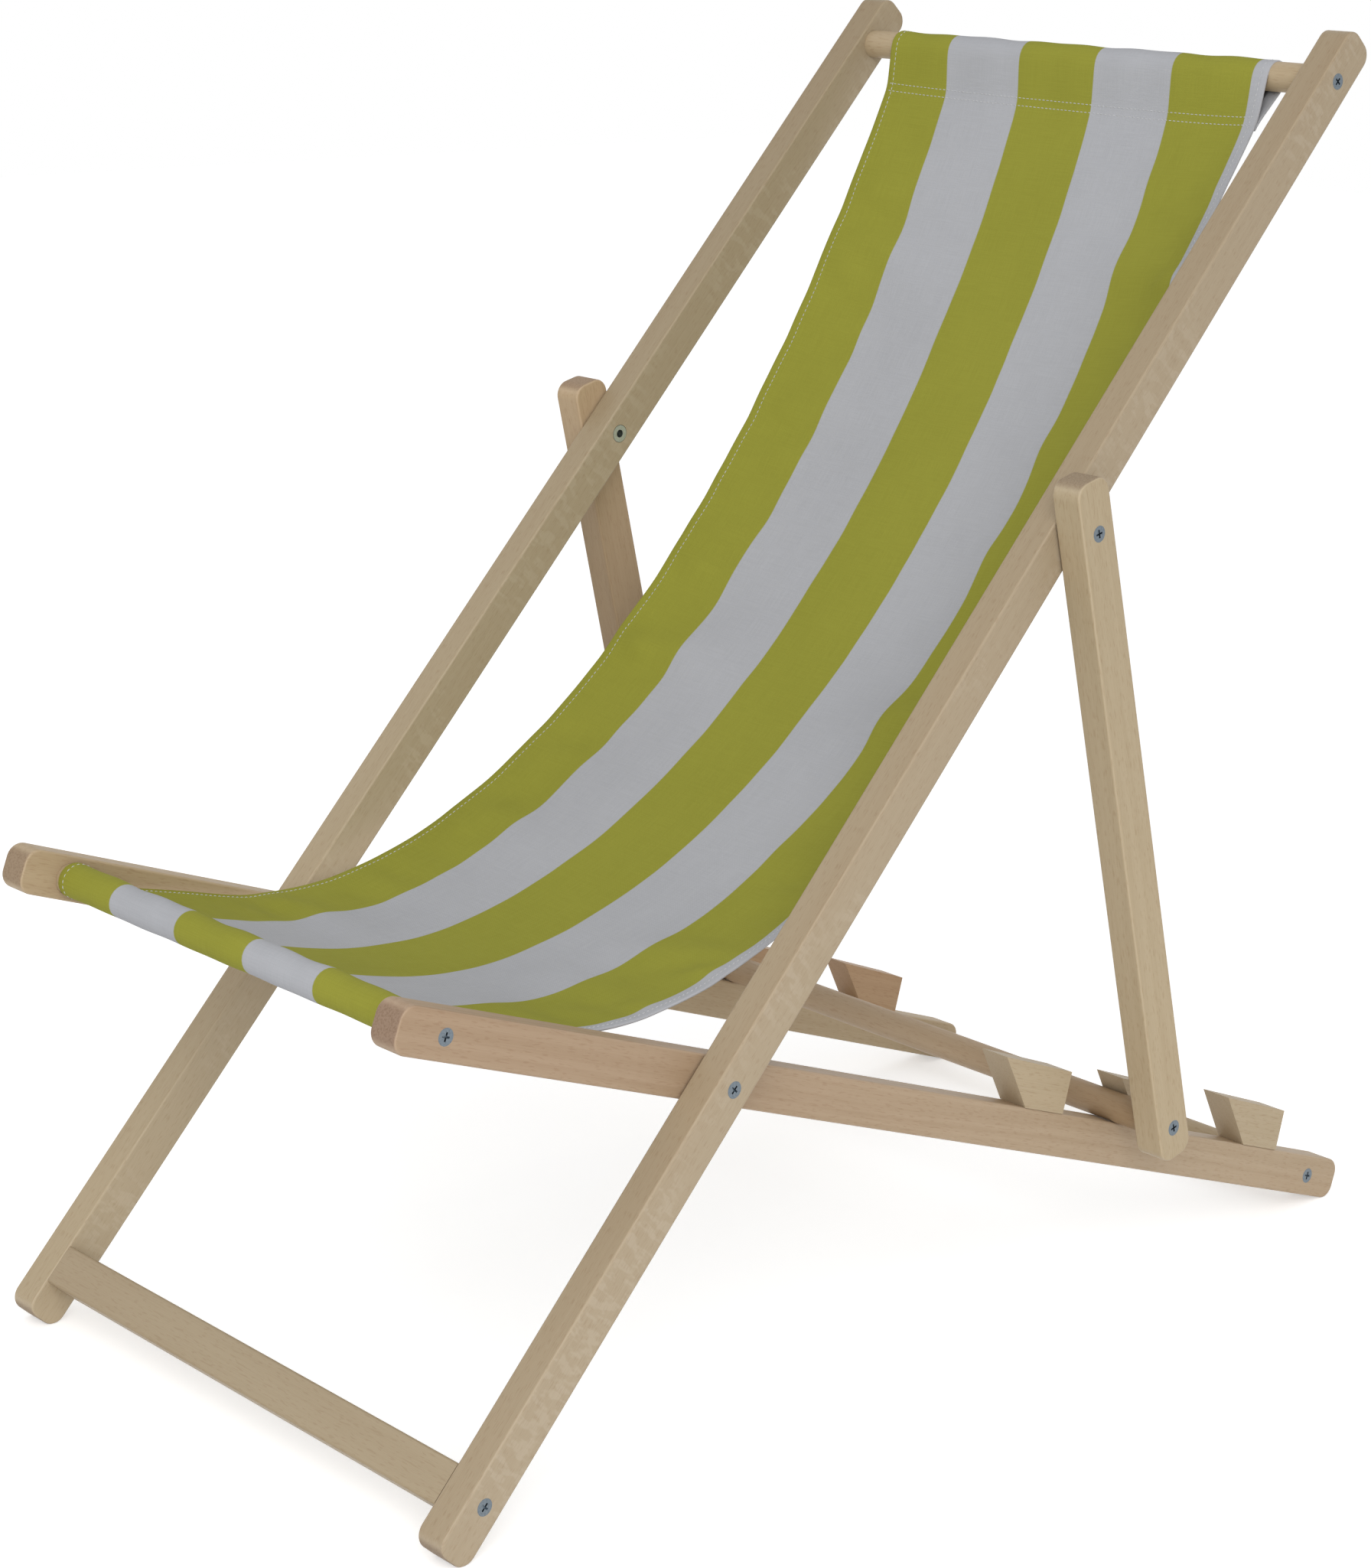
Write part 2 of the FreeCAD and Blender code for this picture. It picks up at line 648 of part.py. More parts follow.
def build_block_screws():
    """The screws that hold the blocks from under the rails."""
    screws = []
    for index in range(BLOCKS):
        middle = number(f"{block_corner(index)} + {BLOCK_FOOT} / 2")
        upright = Placement(Vector(number(RAIL_MIDDLE), middle, -HALF_DEEP), Rotation(Vector(0, 1, 0), 90))
        screw = screw_solid(SEAT.multiply(upright), "0", 0.0, "Sizes.block_screw_length")
        screws += [screw, mirrored(screw, f"block_screw_mirror_{index + 1}")]
    group = doc.addObject("Part::Compound", "block_screws")
    group.Links = screws
    node(group, "block_screws")


# Prop frame: two legs outside the back rails and the bar that drops into the notches


def build_prop_frame():
    """The frame that props the back up from the seat rails."""
    ahead = "Sizes.prop_reach + Sizes.reach_to_end"
    left = rail("prop_leg_left", PROP, "Sizes.top_to_prop", ahead, PROP_IN)
    pivot_holes(left, "pivot", PROP_IN, "0", head_face=PROP_OUT)
    dowel_joint(left, "dowel", PROP_OUT, PROP_IN, "Sizes.prop_reach")
    node(mirrored(left, "prop_leg_right"), "prop_leg_right")
    round_bar("prop_dowel", PROP, size("prop_reach"), PROP_IN)
    pair(screw_solid(PROP, PROP_OUT, size("prop_reach")), "prop_dowel_screws")
    pivot_pin("prop_pivot", PROP, PROP_OUT, BACK_IN)
    washers("prop_pivot", PROP, BACK_OUT)


# Sling: one cloth from the head bar to the front bar, with a sewn sleeve round each


def tangent_points(centre, radius, point):
    """Where the two tangents from a point touch a circle of the side plane."""
    away = point - centre
    swing = math.degrees(math.acos(radius / away.Length))
    spoke = away.normalize() * radius
    return centre + turned(spoke, swing), centre + turned(spoke, -swing)


def arc_edge(start, heading, end):
    """The arc from start to end that sets off along a heading."""
    return Part.Edge(Part.Arc(start, arc_middle(start, heading, end), end))


def arc_middle(start, heading, end):
    """The middle point of that arc."""
    chord = end - start
    half_turn = math.radians(angle_of(chord) - angle_of(heading))
    half_turn = math.remainder(half_turn, 2 * math.pi)
    side = turned(chord, -90)
    return start + chord * 0.5 + side * (math.tan(half_turn / 2) / 2)


SLING_HALF = number(SEAT_IN) - size("sling_side_gap")
SLING_INSIDE = size("dowel_radius") + size("sling_clearance")
# Where the sling's outline is drawn across the chair, as shares of its half width
SLING_STATIONS = (-1.0, -0.85, -0.6, 0.0, 0.6, 0.85, 1.0)


def sling_sleeves():
    """Each bar's middle and the way that its sleeve is pulled, at the head and at the front."""
    head = BACK.multVec(flat(number(HEAD_AT), 0))
    front = SEAT.multVec(flat(number(FRONT_AT), 0))
    head_pull = turned(flat(-1, 0), LEAN + size("sling_sleeve_angle"))
    front_pull = turned(flat(1, 0), SEAT_ANGLE + size("sling_sleeve_front"))
    return (head, head_pull), (front, front_pull)


def hem_pull(distance):
    """How much of a taut hem's pull is left at a distance from it."""
    return math.exp(-distance / size("sling_hem_reach"))


def cloth_ways(across):
    """Which way the cloth leaves the head seam and comes into the front seam, at a place across."""
    right = hem_pull(SLING_HALF + across)
    left = hem_pull(SLING_HALF - across)
    head = size("sling_head_angle") - right * size("sling_right_lift") - left * size("sling_left_lift")
    front = size("sling_front_angle") + (right + left) * size("sling_front_lift")
    return turned(flat(-1, 0), LEAN + head), turned(flat(-1, 0), SEAT_ANGLE + front)


def knee(start, away, end, into):
    """Where the two arcs between a start and an end meet smoothly, and which way they go there."""
    share = size("sling_knee_share")
    span = end - start
    # the tangent lengths of the two arcs solve a quadratic
    both = away * share + into
    square = both.dot(both) - (1 + share) ** 2
    linear = -2 * span.dot(both)
    reach = (-linear - math.sqrt(linear**2 - 4 * square * span.dot(span))) / (2 * square)
    first = start + away * (reach * share)
    way = end - into * reach - first
    joint = first + way * (share / (1 + share))
    return joint, way.normalize()


def sleeve_edges(centre, away, radius, upper, lower):
    """A sleeve's skin round a bar: from one point, round the bar's far side, to another point."""
    skin = []
    far = centre - away * radius
    for side, corner in ((1, upper), (-1, lower)):
        flank = centre + turned(away, 90) * (side * radius)
        touch = min(tangent_points(centre, radius, corner), key=flank.distanceToPoint)
        skin += [Part.Edge(Part.LineSegment(corner, touch)), arc_edge(touch, touch - corner, far)]
    return skin


def sling_outline(across):
    """The closed outline of the sling's cloth and sleeves at a place across, and its run from bar to bar."""
    (head, head_pull), (front, front_pull) = sling_sleeves()
    start = head + head_pull * size("sling_stitch")
    end = front + front_pull * size("sling_stitch")
    away, into = cloth_ways(across)
    joint, middle_way = knee(start, away, end, into)
    half = size("sling_thick") / 2
    outside = SLING_INSIDE + size("sling_thick")
    edges = []
    faces = {}
    for side in (1, -1):
        first = start + turned(head_pull, 90) * (side * half)
        middle = joint + turned(middle_way, 90) * (side * half)
        last = end - turned(front_pull, 90) * (side * half)
        edges += [arc_edge(first, away, middle), arc_edge(middle, middle_way, last)]
        faces[side] = (first, last)
    run = sum(edge.Length for edge in edges) / 2 + 2 * size("sling_stitch")
    edges += sleeve_edges(head, head_pull, outside, faces[1][0], faces[-1][0])
    edges += sleeve_edges(front, front_pull, outside, faces[-1][1], faces[1][1])
    outline = Part.Wire(Part.__sortEdges__(edges))
    outline.translate(Vector(across, 0, 0))
    return outline, run


def build_sling():
    """The sling: taut at its two hems and dished between them, with a sleeve round each bar."""
    cuts = [sling_outline(station * SLING_HALF) for station in SLING_STATIONS]
    band = Part.makeLoft([outline for outline, _ in cuts], True)
    # the sleeves' holes are cut from beyond the hems
    past = SLING_HALF + size("sling_side_gap")
    for centre, pull in sling_sleeves():
        tip = centre + pull * (size("sling_stitch") - size("sling_thick"))
        hole = Part.Face(Part.Wire(Part.__sortEdges__(sleeve_edges(centre, pull, SLING_INSIDE, tip, tip))))
        hole.translate(Vector(-past, 0, 0))
        band = band.cut(hole.extrude(Vector(2 * past, 0, 0)))
    sling = doc.addObject("Part::Feature", "sling")
    sling.Shape = band
    node(sling, "sling")
    runs = [run for _, run in cuts]
    print(f"sling: {2 * SLING_HALF:.1f} wide, {min(runs):.1f} to {max(runs):.1f} from bar to bar")
    print(f"sling: {len(band.Faces)} faces, {band.Volume / 1000:.1f} cubic centimetres")


def check_and_write():
    """Stops on any failed object, then writes each sub-part to its own file."""
    doc.recompute()
    for thing in doc.Objects:
        if {"Invalid", "Error"} & set(thing.State):
            raise RuntimeError(f"{thing.Label} failed: {thing.State}")
    for thing in nodes:
        if thing.Shape.isNull() or not thing.Shape.isValid() or not thing.Shape.Solids:
            raise RuntimeError(f"{thing.Label} has no valid solid")
    os.makedirs("parts", exist_ok=True)
    for thing in nodes:
        thing.Shape.exportStep(os.path.join("parts", f"{thing.Label}.step"))


build_back_frame()
build_seat_frame()
build_prop_frame()
build_sling()
check_and_write()
box = Part.makeCompound([thing.Shape for thing in nodes]).optimalBoundingBox(False, False)
print(f"lean {LEAN:.3f}, seat {SEAT_ANGLE:.3f}, prop {PROP_ANGLE:.3f} degrees")
for name, place in (("seat pivot", PIVOT), ("prop pivot", PROP.Base)):
    print(f"{name} at {place.y:.3f}, {place.z:.3f}")
print(f"box {box.XLength:.1f} x {box.YLength:.1f} x {box.ZLength:.1f}, lowest {box.ZMin:.3f}")
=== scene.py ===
"""Finishes a child's folding deck chair: bare beech timbers, zinc fasteners and a sewn sling.

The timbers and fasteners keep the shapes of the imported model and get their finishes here. The
sling is one strip of striped canvas, with a sewn sleeve round each bar and a turned hem down each
side, and its stitches are short pieces of thread. All lengths are in metres.
"""
import json
import math

import bpy
from bpy.props import FloatProperty, FloatVectorProperty, PointerProperty
from mathutils import Matrix, Quaternion, Vector


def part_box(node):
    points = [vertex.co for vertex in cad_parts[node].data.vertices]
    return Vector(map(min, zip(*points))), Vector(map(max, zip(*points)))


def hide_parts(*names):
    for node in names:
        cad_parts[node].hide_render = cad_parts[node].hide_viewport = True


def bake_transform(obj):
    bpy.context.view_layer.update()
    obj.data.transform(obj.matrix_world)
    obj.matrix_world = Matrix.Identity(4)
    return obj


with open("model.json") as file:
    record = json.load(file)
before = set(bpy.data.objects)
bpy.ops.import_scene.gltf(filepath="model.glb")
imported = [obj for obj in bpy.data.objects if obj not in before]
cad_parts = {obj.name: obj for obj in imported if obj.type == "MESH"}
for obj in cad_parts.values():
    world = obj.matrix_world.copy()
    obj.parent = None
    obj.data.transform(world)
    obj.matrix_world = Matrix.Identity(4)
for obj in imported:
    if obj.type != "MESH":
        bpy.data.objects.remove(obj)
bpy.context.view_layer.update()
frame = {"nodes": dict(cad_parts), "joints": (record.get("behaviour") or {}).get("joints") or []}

bl_info = {
    "name": "Deck Chair Finisher",
    "version": (1, 0, 0),
    "blender": (4, 5, 0),
    "location": "View3D > Sidebar > Deck Chair",
    "description": "Finishes a child's folding deck chair in beech, zinc and striped canvas",
    "category": "Object",
}

# Where the frames stand


def middle(node):
    """The middle of a CAD node's box."""
    low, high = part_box(node)
    return (low + high) / 2


def turned(vector, turn):
    """A vector, turned about the line across the chair, from rearwards to upwards."""
    return Matrix.Rotation(turn, 3, "X") @ vector


PIVOTS = {joint["name"]: Vector(joint["pos_m"]) for joint in frame["joints"]}
HEAD_BAR = middle("head_dowel")
FRONT_BAR = middle("front_dowel")
BAR_RADIUS = HEAD_BAR.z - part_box("head_dowel")[0].z
BACK_WAY = (HEAD_BAR - PIVOTS["back_lift"]).normalized()
SEAT_WAY = (PIVOTS["back_lift"] - FRONT_BAR).normalized()
PROP_WAY = (middle("prop_dowel") - PIVOTS["prop_swing"]).normalized()
ACROSS = Vector((1, 0, 0))
QUARTER = math.pi / 2

# Sizes and colours that can be changed


def length(name, default, description):
    """A length in metres."""
    return FloatProperty(
        name=name, description=description, default=default, min=0, precision=4, unit="LENGTH"
    )


def offset(name, default, description):
    """A length in metres that may go either way."""
    return FloatProperty(
        name=name, description=description, default=default, precision=4, unit="LENGTH"
    )


def angle(name, degrees, description):
    """An angle, with its default in degrees."""
    return FloatProperty(
        name=name, description=description, default=math.radians(degrees), unit="ROTATION"
    )


def colour(name, default, description):
    """A linear colour."""
    return FloatVectorProperty(
        name=name, description=description, default=default, min=0, max=1, size=3, subtype="COLOR"
    )


def share(name, default, description):
    """A plain number, mostly from 0 to 1."""
    return FloatProperty(name=name, description=description, default=default, min=0)


class SlingSettings(bpy.types.PropertyGroup):
    """The sling's cut, hang and colours."""

    width: length("Width", 0.3095, "Between the two finished side edges")
    hem: length("Hem", 0.010, "Width of the turned hem down each side")
    hem_gap: length("Hem gap", 0.0010, "From the cloth to the hem behind it")
    cloth: length("Cloth", 0.0007, "Thickness of the canvas")
    sleeve_length: length("Sleeve", 0.0302, "From a bar's middle to the seam of its sleeve")
    sleeve_room: length("Sleeve room", 0.0003, "Between a bar and the cloth round it")
    seam_slant: length(
        "Seam slant", 0.0010, "How much further from the bar a seam lies at the left hem"
    )
    tail: length("Tail", 0.005, "Cloth beyond a sleeve's seam")
    seam_gap: length("Seam gap", 0.0012, "Between the two layers at a sleeve's seam")
    seam_spread: length("Seam spread", 0.0010, "How much more the layers part where the hems are")
    head_angle: angle("Head angle", 23.5, "From the back rails to the cloth below the head bar")
    head_angle_right: angle("Head angle, right", 16.3, "The same at the taut right hem")
    head_angle_left: angle("Head angle, left", 9.5, "The same at the taut left hem")
    front_angle: angle("Front angle", -3.8, "From the seat rails to the cloth behind the front bar")
    front_angle_right: angle("Front angle, right", -1.8, "The same at the taut right hem")
    front_angle_left: angle("Front angle, left", -0.6, "The same at the taut left hem")
    head_hold: length("Head hold", 0.3075, "How long the cloth keeps its way below the head seam")
    front_hold: length("Front hold", 0.2695, "How long it keeps its way before the front seam")
    hem_hold: length("Hem hold", 0.016, "How much longer a hem keeps its way before the front seam")
    hem_reach: length("Hem reach", 0.040, "How far into the cloth a taut hem pulls")
    head_shift: offset("Head shift", 0.0008, "How far the cloth has slid sideways at the head bar")
    front_shift: offset("Front shift", -0.0005, "How far it has slid sideways at the front bar")
    front_rise: length("Front rise", 0.0015, "How far the cloth bulges up behind the front bar")
    front_rise_right: length("Front rise, right", 0.0050, "The same at the taut right hem")
    gather: length("Gather", 0.0006, "Height of the small gathers round the bars")
    stripe: length("Stripe", 0.0620, "Width of a stripe")
    first_stripe: length("First stripe", 0.0512, "Width of the green stripe at the right edge")
    stitch: length("Stitch", 0.0033, "From one stitch to the next")
    thread: length("Thread", 0.00030, "Half the thickness of the thread")
    green: colour("Green", (0.300, 0.298, 0.041), "Lime green stripes")
    white: colour("White", (0.439, 0.446, 0.471), "White stripes")
    thread_colour: colour("Thread colour", (0.56, 0.565, 0.57), "White thread")


class BeechSettings(bpy.types.PropertyGroup):
    """The look of the bare beech."""

    pale: colour("Pale", (0.508, 0.410, 0.277), "Wood between the growth lines")
    streak: colour("Streak", (0.464, 0.365, 0.238), "Wood of the growth lines")
    end_grain: colour("End grain", (0.375, 0.290, 0.205), "Wood cut across its grain")
    flecks: share("Flecks", 0.30, "Strength of the short dark dashes")
    figure: share("Figure", 1.0, "Strength of the bright patches on quarter-sawn faces")
    # strength of the painted highlight on the eased edges
    arris_highlight: share("Arris highlight", 1.0, "How much lighter the eased edges are")


class ZincSettings(bpy.types.PropertyGroup):
    """The look of the zinc-plated fasteners."""

    # darker than bare zinc: partly the plating's colour and partly a painted dark reflection of
    # surroundings that this white world lacks
    zinc: colour("Zinc", (0.180, 0.213, 0.240), "Zinc plating")
    nuts: colour("Nuts", (0.72, 0.76, 0.71), "Brighter plating of the sleeve nuts")


class StageSettings(bpy.types.PropertyGroup):
    """The camera, the floor and the light."""

    camera_place: FloatVectorProperty(
        name="Camera place",
        description="Where the camera stands",
        default=(1.4385, -1.3769, 0.8562),
        size=3,
        subtype="TRANSLATION",
    )
    azimuth: angle("Azimuth", 47.035, "Camera's way round the chair")
    elevation: angle("Elevation", 12.207, "Camera's height above the horizon")
    roll: angle("Roll", 1.353, "Camera's turn about its own line of sight")
    lens: FloatProperty(name="Lens", description="Focal length in millimetres", default=79.12)
    rise: FloatProperty(name="Rise", description="Vertical shift of the picture", default=-0.1262)
    world: share("World", 0.70, "Light from all sides")
    ceiling: share("Ceiling", 0.10, "How much weaker the light from straight above is")
    key: FloatProperty(
        name="Key", description="Power of the large soft lamp", default=45.0, min=0, unit="POWER"
    )
    floor: colour("Floor", (0.90, 0.90, 0.90), "Pale floor")


# Small tools for shader nodes

# How nodes are laid out: the steps between them and how many stand in a row
NODE_STEP = (180, -220)
NODES_IN_ROW = 12


def add_node(tree, kind, inputs=None, **settings):
    """A node with its settings, and its inputs as values or as links from other nodes' outputs."""
    made = tree.nodes.new(kind)
    row, column = divmod(len(tree.nodes), NODES_IN_ROW)
    made.location = (NODE_STEP[0] * column, NODE_STEP[1] * row)
    for name, value in settings.items():
        setattr(made, name, value)
    for key, value in (inputs or {}).items():
        if isinstance(value, bpy.types.NodeSocket):
            tree.links.new(value, made.inputs[key])
        else:
            made.inputs[key].default_value = value
    return made


def calc(tree, operation, *values):
    """The result of a math node."""
    return add_node(tree, "ShaderNodeMath", dict(enumerate(values)), operation=operation).outputs[0]


def ramp(tree, value, low, high, to_low=0.0, to_high=1.0):
    """A value, spread smoothly from one range to another and held at its ends."""
    inputs = {"Value": value, "From Min": low, "From Max": high, "To Min": to_low, "To Max": to_high}
    return add_node(tree, "ShaderNodeMapRange", inputs, interpolation_type="SMOOTHSTEP").outputs[0]


def mixed(tree, kind, factor, first, second):
    """Two colours, blended."""
    inputs = {0: factor, 6: first, 7: second}
    settings = {"data_type": "RGBA", "blend_type": kind, "clamp_result": True}
    return add_node(tree, "ShaderNodeMix", inputs, **settings).outputs[2]


def stretched_noise(tree, place, scale, detail=0.0, roughness=0.5):
    """Noise with its own scale along each axis, in cycles per metre."""
    scaled = add_node(tree, "ShaderNodeVectorMath", {0: place, 1: scale}, operation="MULTIPLY")
    inputs = {"Vector": scaled.outputs[0], "Scale": 1.0, "Detail": detail, "Roughness": roughness}
    return add_node(tree, "ShaderNodeTexNoise", inputs).outputs[0]


def new_group(name, inputs, outputs):
    """An empty node group with its sockets, its input node and its output node."""
    group = bpy.data.node_groups.new(name, "ShaderNodeTree")
    for way, sockets in (("INPUT", inputs), ("OUTPUT", outputs)):
        for label, kind in sockets.items():
            group.interface.new_socket(label, in_out=way, socket_type="NodeSocket" + kind)
    return group, add_node(group, "NodeGroupInput").outputs, add_node(group, "NodeGroupOutput").inputs


def new_material(name):
    """An empty material and its principled shader, joined to the output."""
    material = bpy.data.materials.new(name)
    material.use_nodes = True
    tree = material.node_tree
    tree.nodes.clear()
    shader = add_node(tree, "ShaderNodeBsdfPrincipled")
    add_node(tree, "ShaderNodeOutputMaterial", {"Surface": shader.outputs[0]})
    return material, tree, shader


def opaque(value):
    """A colour with full alpha."""
    return (*value, 1.0)


def join_looks(tree, shader, body, rough, height, strength, distance):
    """Joins a colour, a roughness and a bumpy height to a shader."""
    inputs = {"Strength": strength, "Distance": distance, "Height": height}
    bump = add_node(tree, "ShaderNodeBump", inputs).outputs[0]
    for look, socket in ((body, "Base Color"), (rough, "Roughness"), (bump, "Normal")):
        tree.links.new(look, shader.inputs[socket])


# Beech

# What the wood's colour is multiplied by in its clouds, fibres, dashes and pores
CLOUD_TINT = (0.93, 0.87, 0.82, 1.0)
FIBRE_TINT = (0.88, 0.85, 0.82, 1.0)
DASH_TINT = (0.70, 0.58, 0.48, 1.0)
PORE_TINT = (0.80, 0.76, 0.72, 1.0)
# The light that quarter-sawn faces and their patches gain, and the painted highlight of the eased
# edges
QUARTERED_LIGHT = (0.15, 0.13, 0.10, 1.0)
PATCH_LIGHT = (0.17, 0.15, 0.12, 1.0)
ARRIS_HIGHLIGHT = (0.22, 0.19, 0.16, 1.0)
# From the heart of the tree to a timber, sideways and outwards
HEART = (0.05, 0.08)


def make_beech_group():
    """Grain of a timber, with a painted highlight on its eased edges, whose length runs along the
    second axis of Place.
    """
    tree, source, result = new_group(
        "beech_grain",
        {
            "Place": "Vector",
            "Facing": "Vector",
            "Pale": "Color",
            "Streak": "Color",
            "End": "Color",
            "Lines": "Float",
            "Flecks": "Float",
            "Figure": "Float",
            "Arris highlight": "Float",
        },
        {"Color": "Color", "Roughness": "Float", "Height": "Float"},
    )
    place = source["Place"]
    parts = add_node(tree, "ShaderNodeSeparateXYZ", {0: place}).outputs
    facing = add_node(tree, "ShaderNodeSeparateXYZ", {0: source["Facing"]}).outputs
    sideways, lengthways, outwards = (calc(tree, "ABSOLUTE", part) for part in facing)

    # growth lines are slices of rings round a heart that lies outside the timber
    wander = stretched_noise(tree, place, (9.0, 2.2, 9.0), 1.0)
    heart_x = calc(tree, "ADD", parts[0], HEART[0])
    heart_z = calc(tree, "ADD", parts[2], HEART[1])
    squares = calc(tree, "ADD", calc(tree, "POWER", heart_x, 2.0), calc(tree, "POWER", heart_z, 2.0))
    ring = calc(tree, "ADD", calc(tree, "SQRT", squares), calc(tree, "MULTIPLY", wander, 0.012))
    ring_place = add_node(tree, "ShaderNodeCombineXYZ", {0: ring, 1: parts[1], 2: 0.0}).outputs[0]
    growth = ramp(tree, stretched_noise(tree, ring_place, (330.0, 1.3, 1.0), 2.0), 0.34, 0.70)
    growth = calc(tree, "MULTIPLY", growth, source["Lines"])
    body = mixed(tree, "MIX", growth, source["Pale"], source["Streak"])

    # broad clouds, fine fibres and short dark dashes
    cloud = stretched_noise(tree, place, (24.0, 3.0, 24.0), 2.0)
    body = mixed(tree, "MULTIPLY", ramp(tree, cloud, 0.42, 0.72, 0.0, 0.40), body, CLOUD_TINT)
    fibre = stretched_noise(tree, place, (1300.0, 22.0, 1300.0), 2.0, 0.6)
    body = mixed(tree, "MULTIPLY", ramp(tree, fibre, 0.40, 0.75, 0.0, 0.35), body, FIBRE_TINT)
    dash = ramp(tree, stretched_noise(tree, place, (1300.0, 170.0, 1300.0)), 0.62, 0.74)
    dash = calc(tree, "MULTIPLY", dash, source["Flecks"])
    body = mixed(tree, "MULTIPLY", dash, body, DASH_TINT)

    # quarter-sawn faces are paler and show bright patches that lie across the grain
    patch = ramp(tree, stretched_noise(tree, place, (5.0, 170.0, 75.0), 2.0, 0.6), 0.47, 0.60)
    bare = ramp(tree, stretched_noise(tree, place, (3.0, 9.0, 20.0), 1.0), 0.40, 0.58)
    quartered = calc(tree, "MULTIPLY", ramp(tree, sideways, 0.80, 0.97), source["Figure"])
    patch = calc(tree, "MULTIPLY", calc(tree, "MULTIPLY", patch, bare), quartered)
    body = mixed(tree, "SCREEN", calc(tree, "MULTIPLY", quartered, 0.5), body, QUARTERED_LIGHT)
    body = mixed(tree, "SCREEN", calc(tree, "MULTIPLY", patch, 0.55), body, PATCH_LIGHT)

    # eased edges get a painted highlight, and cut ends are darker with fine rings
    square_on = calc(tree, "MAXIMUM", calc(tree, "MAXIMUM", sideways, outwards), lengthways)
    edge_highlight = calc(tree, "MULTIPLY", ramp(tree, square_on, 0.74, 0.97, 1.0, 0.0), source["Arris highlight"])
    body = mixed(tree, "SCREEN", calc(tree, "MULTIPLY", edge_highlight, 0.4), body, ARRIS_HIGHLIGHT)
    cut = ramp(tree, lengthways, 0.60, 0.96)
    pores = ramp(tree, stretched_noise(tree, place, (900.0, 60.0, 900.0), 2.0), 0.40, 0.70)
    end = mixed(tree, "MULTIPLY", pores, source["End"], PORE_TINT)
    tree.links.new(mixed(tree, "MIX", cut, body, end), result["Color"])

    rough = ramp(tree, fibre, 0.3, 0.7, 0.44, 0.56)
    rough = calc(tree, "ADD", rough, calc(tree, "MULTIPLY", cut, 0.12))
    rough = calc(tree, "SUBTRACT", rough, calc(tree, "MULTIPLY", patch, 0.08))
    tree.links.new(rough, result["Roughness"])
    raised = calc(tree, "MULTIPLY", fibre, 0.6)
    raised = calc(tree, "SUBTRACT", raised, calc(tree, "MULTIPLY", dash, 0.5))
    raised = calc(tree, "ADD", raised, calc(tree, "MULTIPLY", growth, 0.2))
    tree.links.new(raised, result["Height"])
    return tree


def timber_turn(way):
    """The turn that lays a timber's own direction along the second axis."""
    if abs(way.x) > 0.5:
        return (0.0, 0.0, QUARTER)
    return (-math.atan2(way.z, way.y), 0.0, 0.0)


def make_beech(name, group, beech, way, cut_from, lines, figure, arris_highlight, span, first, last):
    """The finish of one timber: its grain runs its way, and its colour changes along a part of it,
    partly its own tone and partly painted shade.
    """
    material, tree, shader = new_material("beech_" + name)
    coords = add_node(tree, "ShaderNodeTexCoord").outputs
    turn = timber_turn(way)
    inputs = {"Vector": coords["Object"], "Rotation": turn, "Location": cut_from}
    place = add_node(tree, "ShaderNodeMapping", inputs)
    inputs = {"Vector": coords["Normal"], "Rotation": turn}
    facing = add_node(tree, "ShaderNodeMapping", inputs, vector_type="VECTOR")
    inputs = {
        "Place": place.outputs[0],
        "Facing": facing.outputs[0],
        "Pale": opaque(beech.pale),
        "Streak": opaque(beech.streak),
        "End": opaque(beech.end_grain),
        "Lines": lines,
        "Flecks": beech.flecks,
        "Figure": beech.figure * figure,
        "Arris highlight": beech.arris_highlight * arris_highlight,
    }
    grain = add_node(tree, "ShaderNodeGroup", inputs, node_tree=group).outputs

    # the colour changes from where the timber's way begins, partly the timber's own tone and partly
    # painted shade
    low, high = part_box(name)
    reach = sum(abs(part) * size for part, size in zip(way, high - low)) / 2
    start = middle(name).dot(way) - reach
    inputs = {0: coords["Object"], 1: way}
    along = add_node(tree, "ShaderNodeVectorMath", inputs, operation="DOT_PRODUCT").outputs["Value"]
    down = ramp(tree, along, start, start + 2 * reach * span)
    tone_and_shade = mixed(tree, "MIX", down, opaque(first), opaque(last))
    body = mixed(tree, "MULTIPLY", 1.0, grain["Color"], tone_and_shade)
    join_looks(tree, shader, body, grain["Roughness"], grain["Height"], 0.35, 0.0004)
    shader.inputs["Specular IOR Level"].default_value = 0.3
    return material


def set_material(node, material):
    """Puts one material on a CAD node, in place of its plain one."""
    slots = frame["nodes"][node].data.materials
    slots.clear()
    slots.append(material)


BAR_TONE = (0.91, 0.88, 0.83)
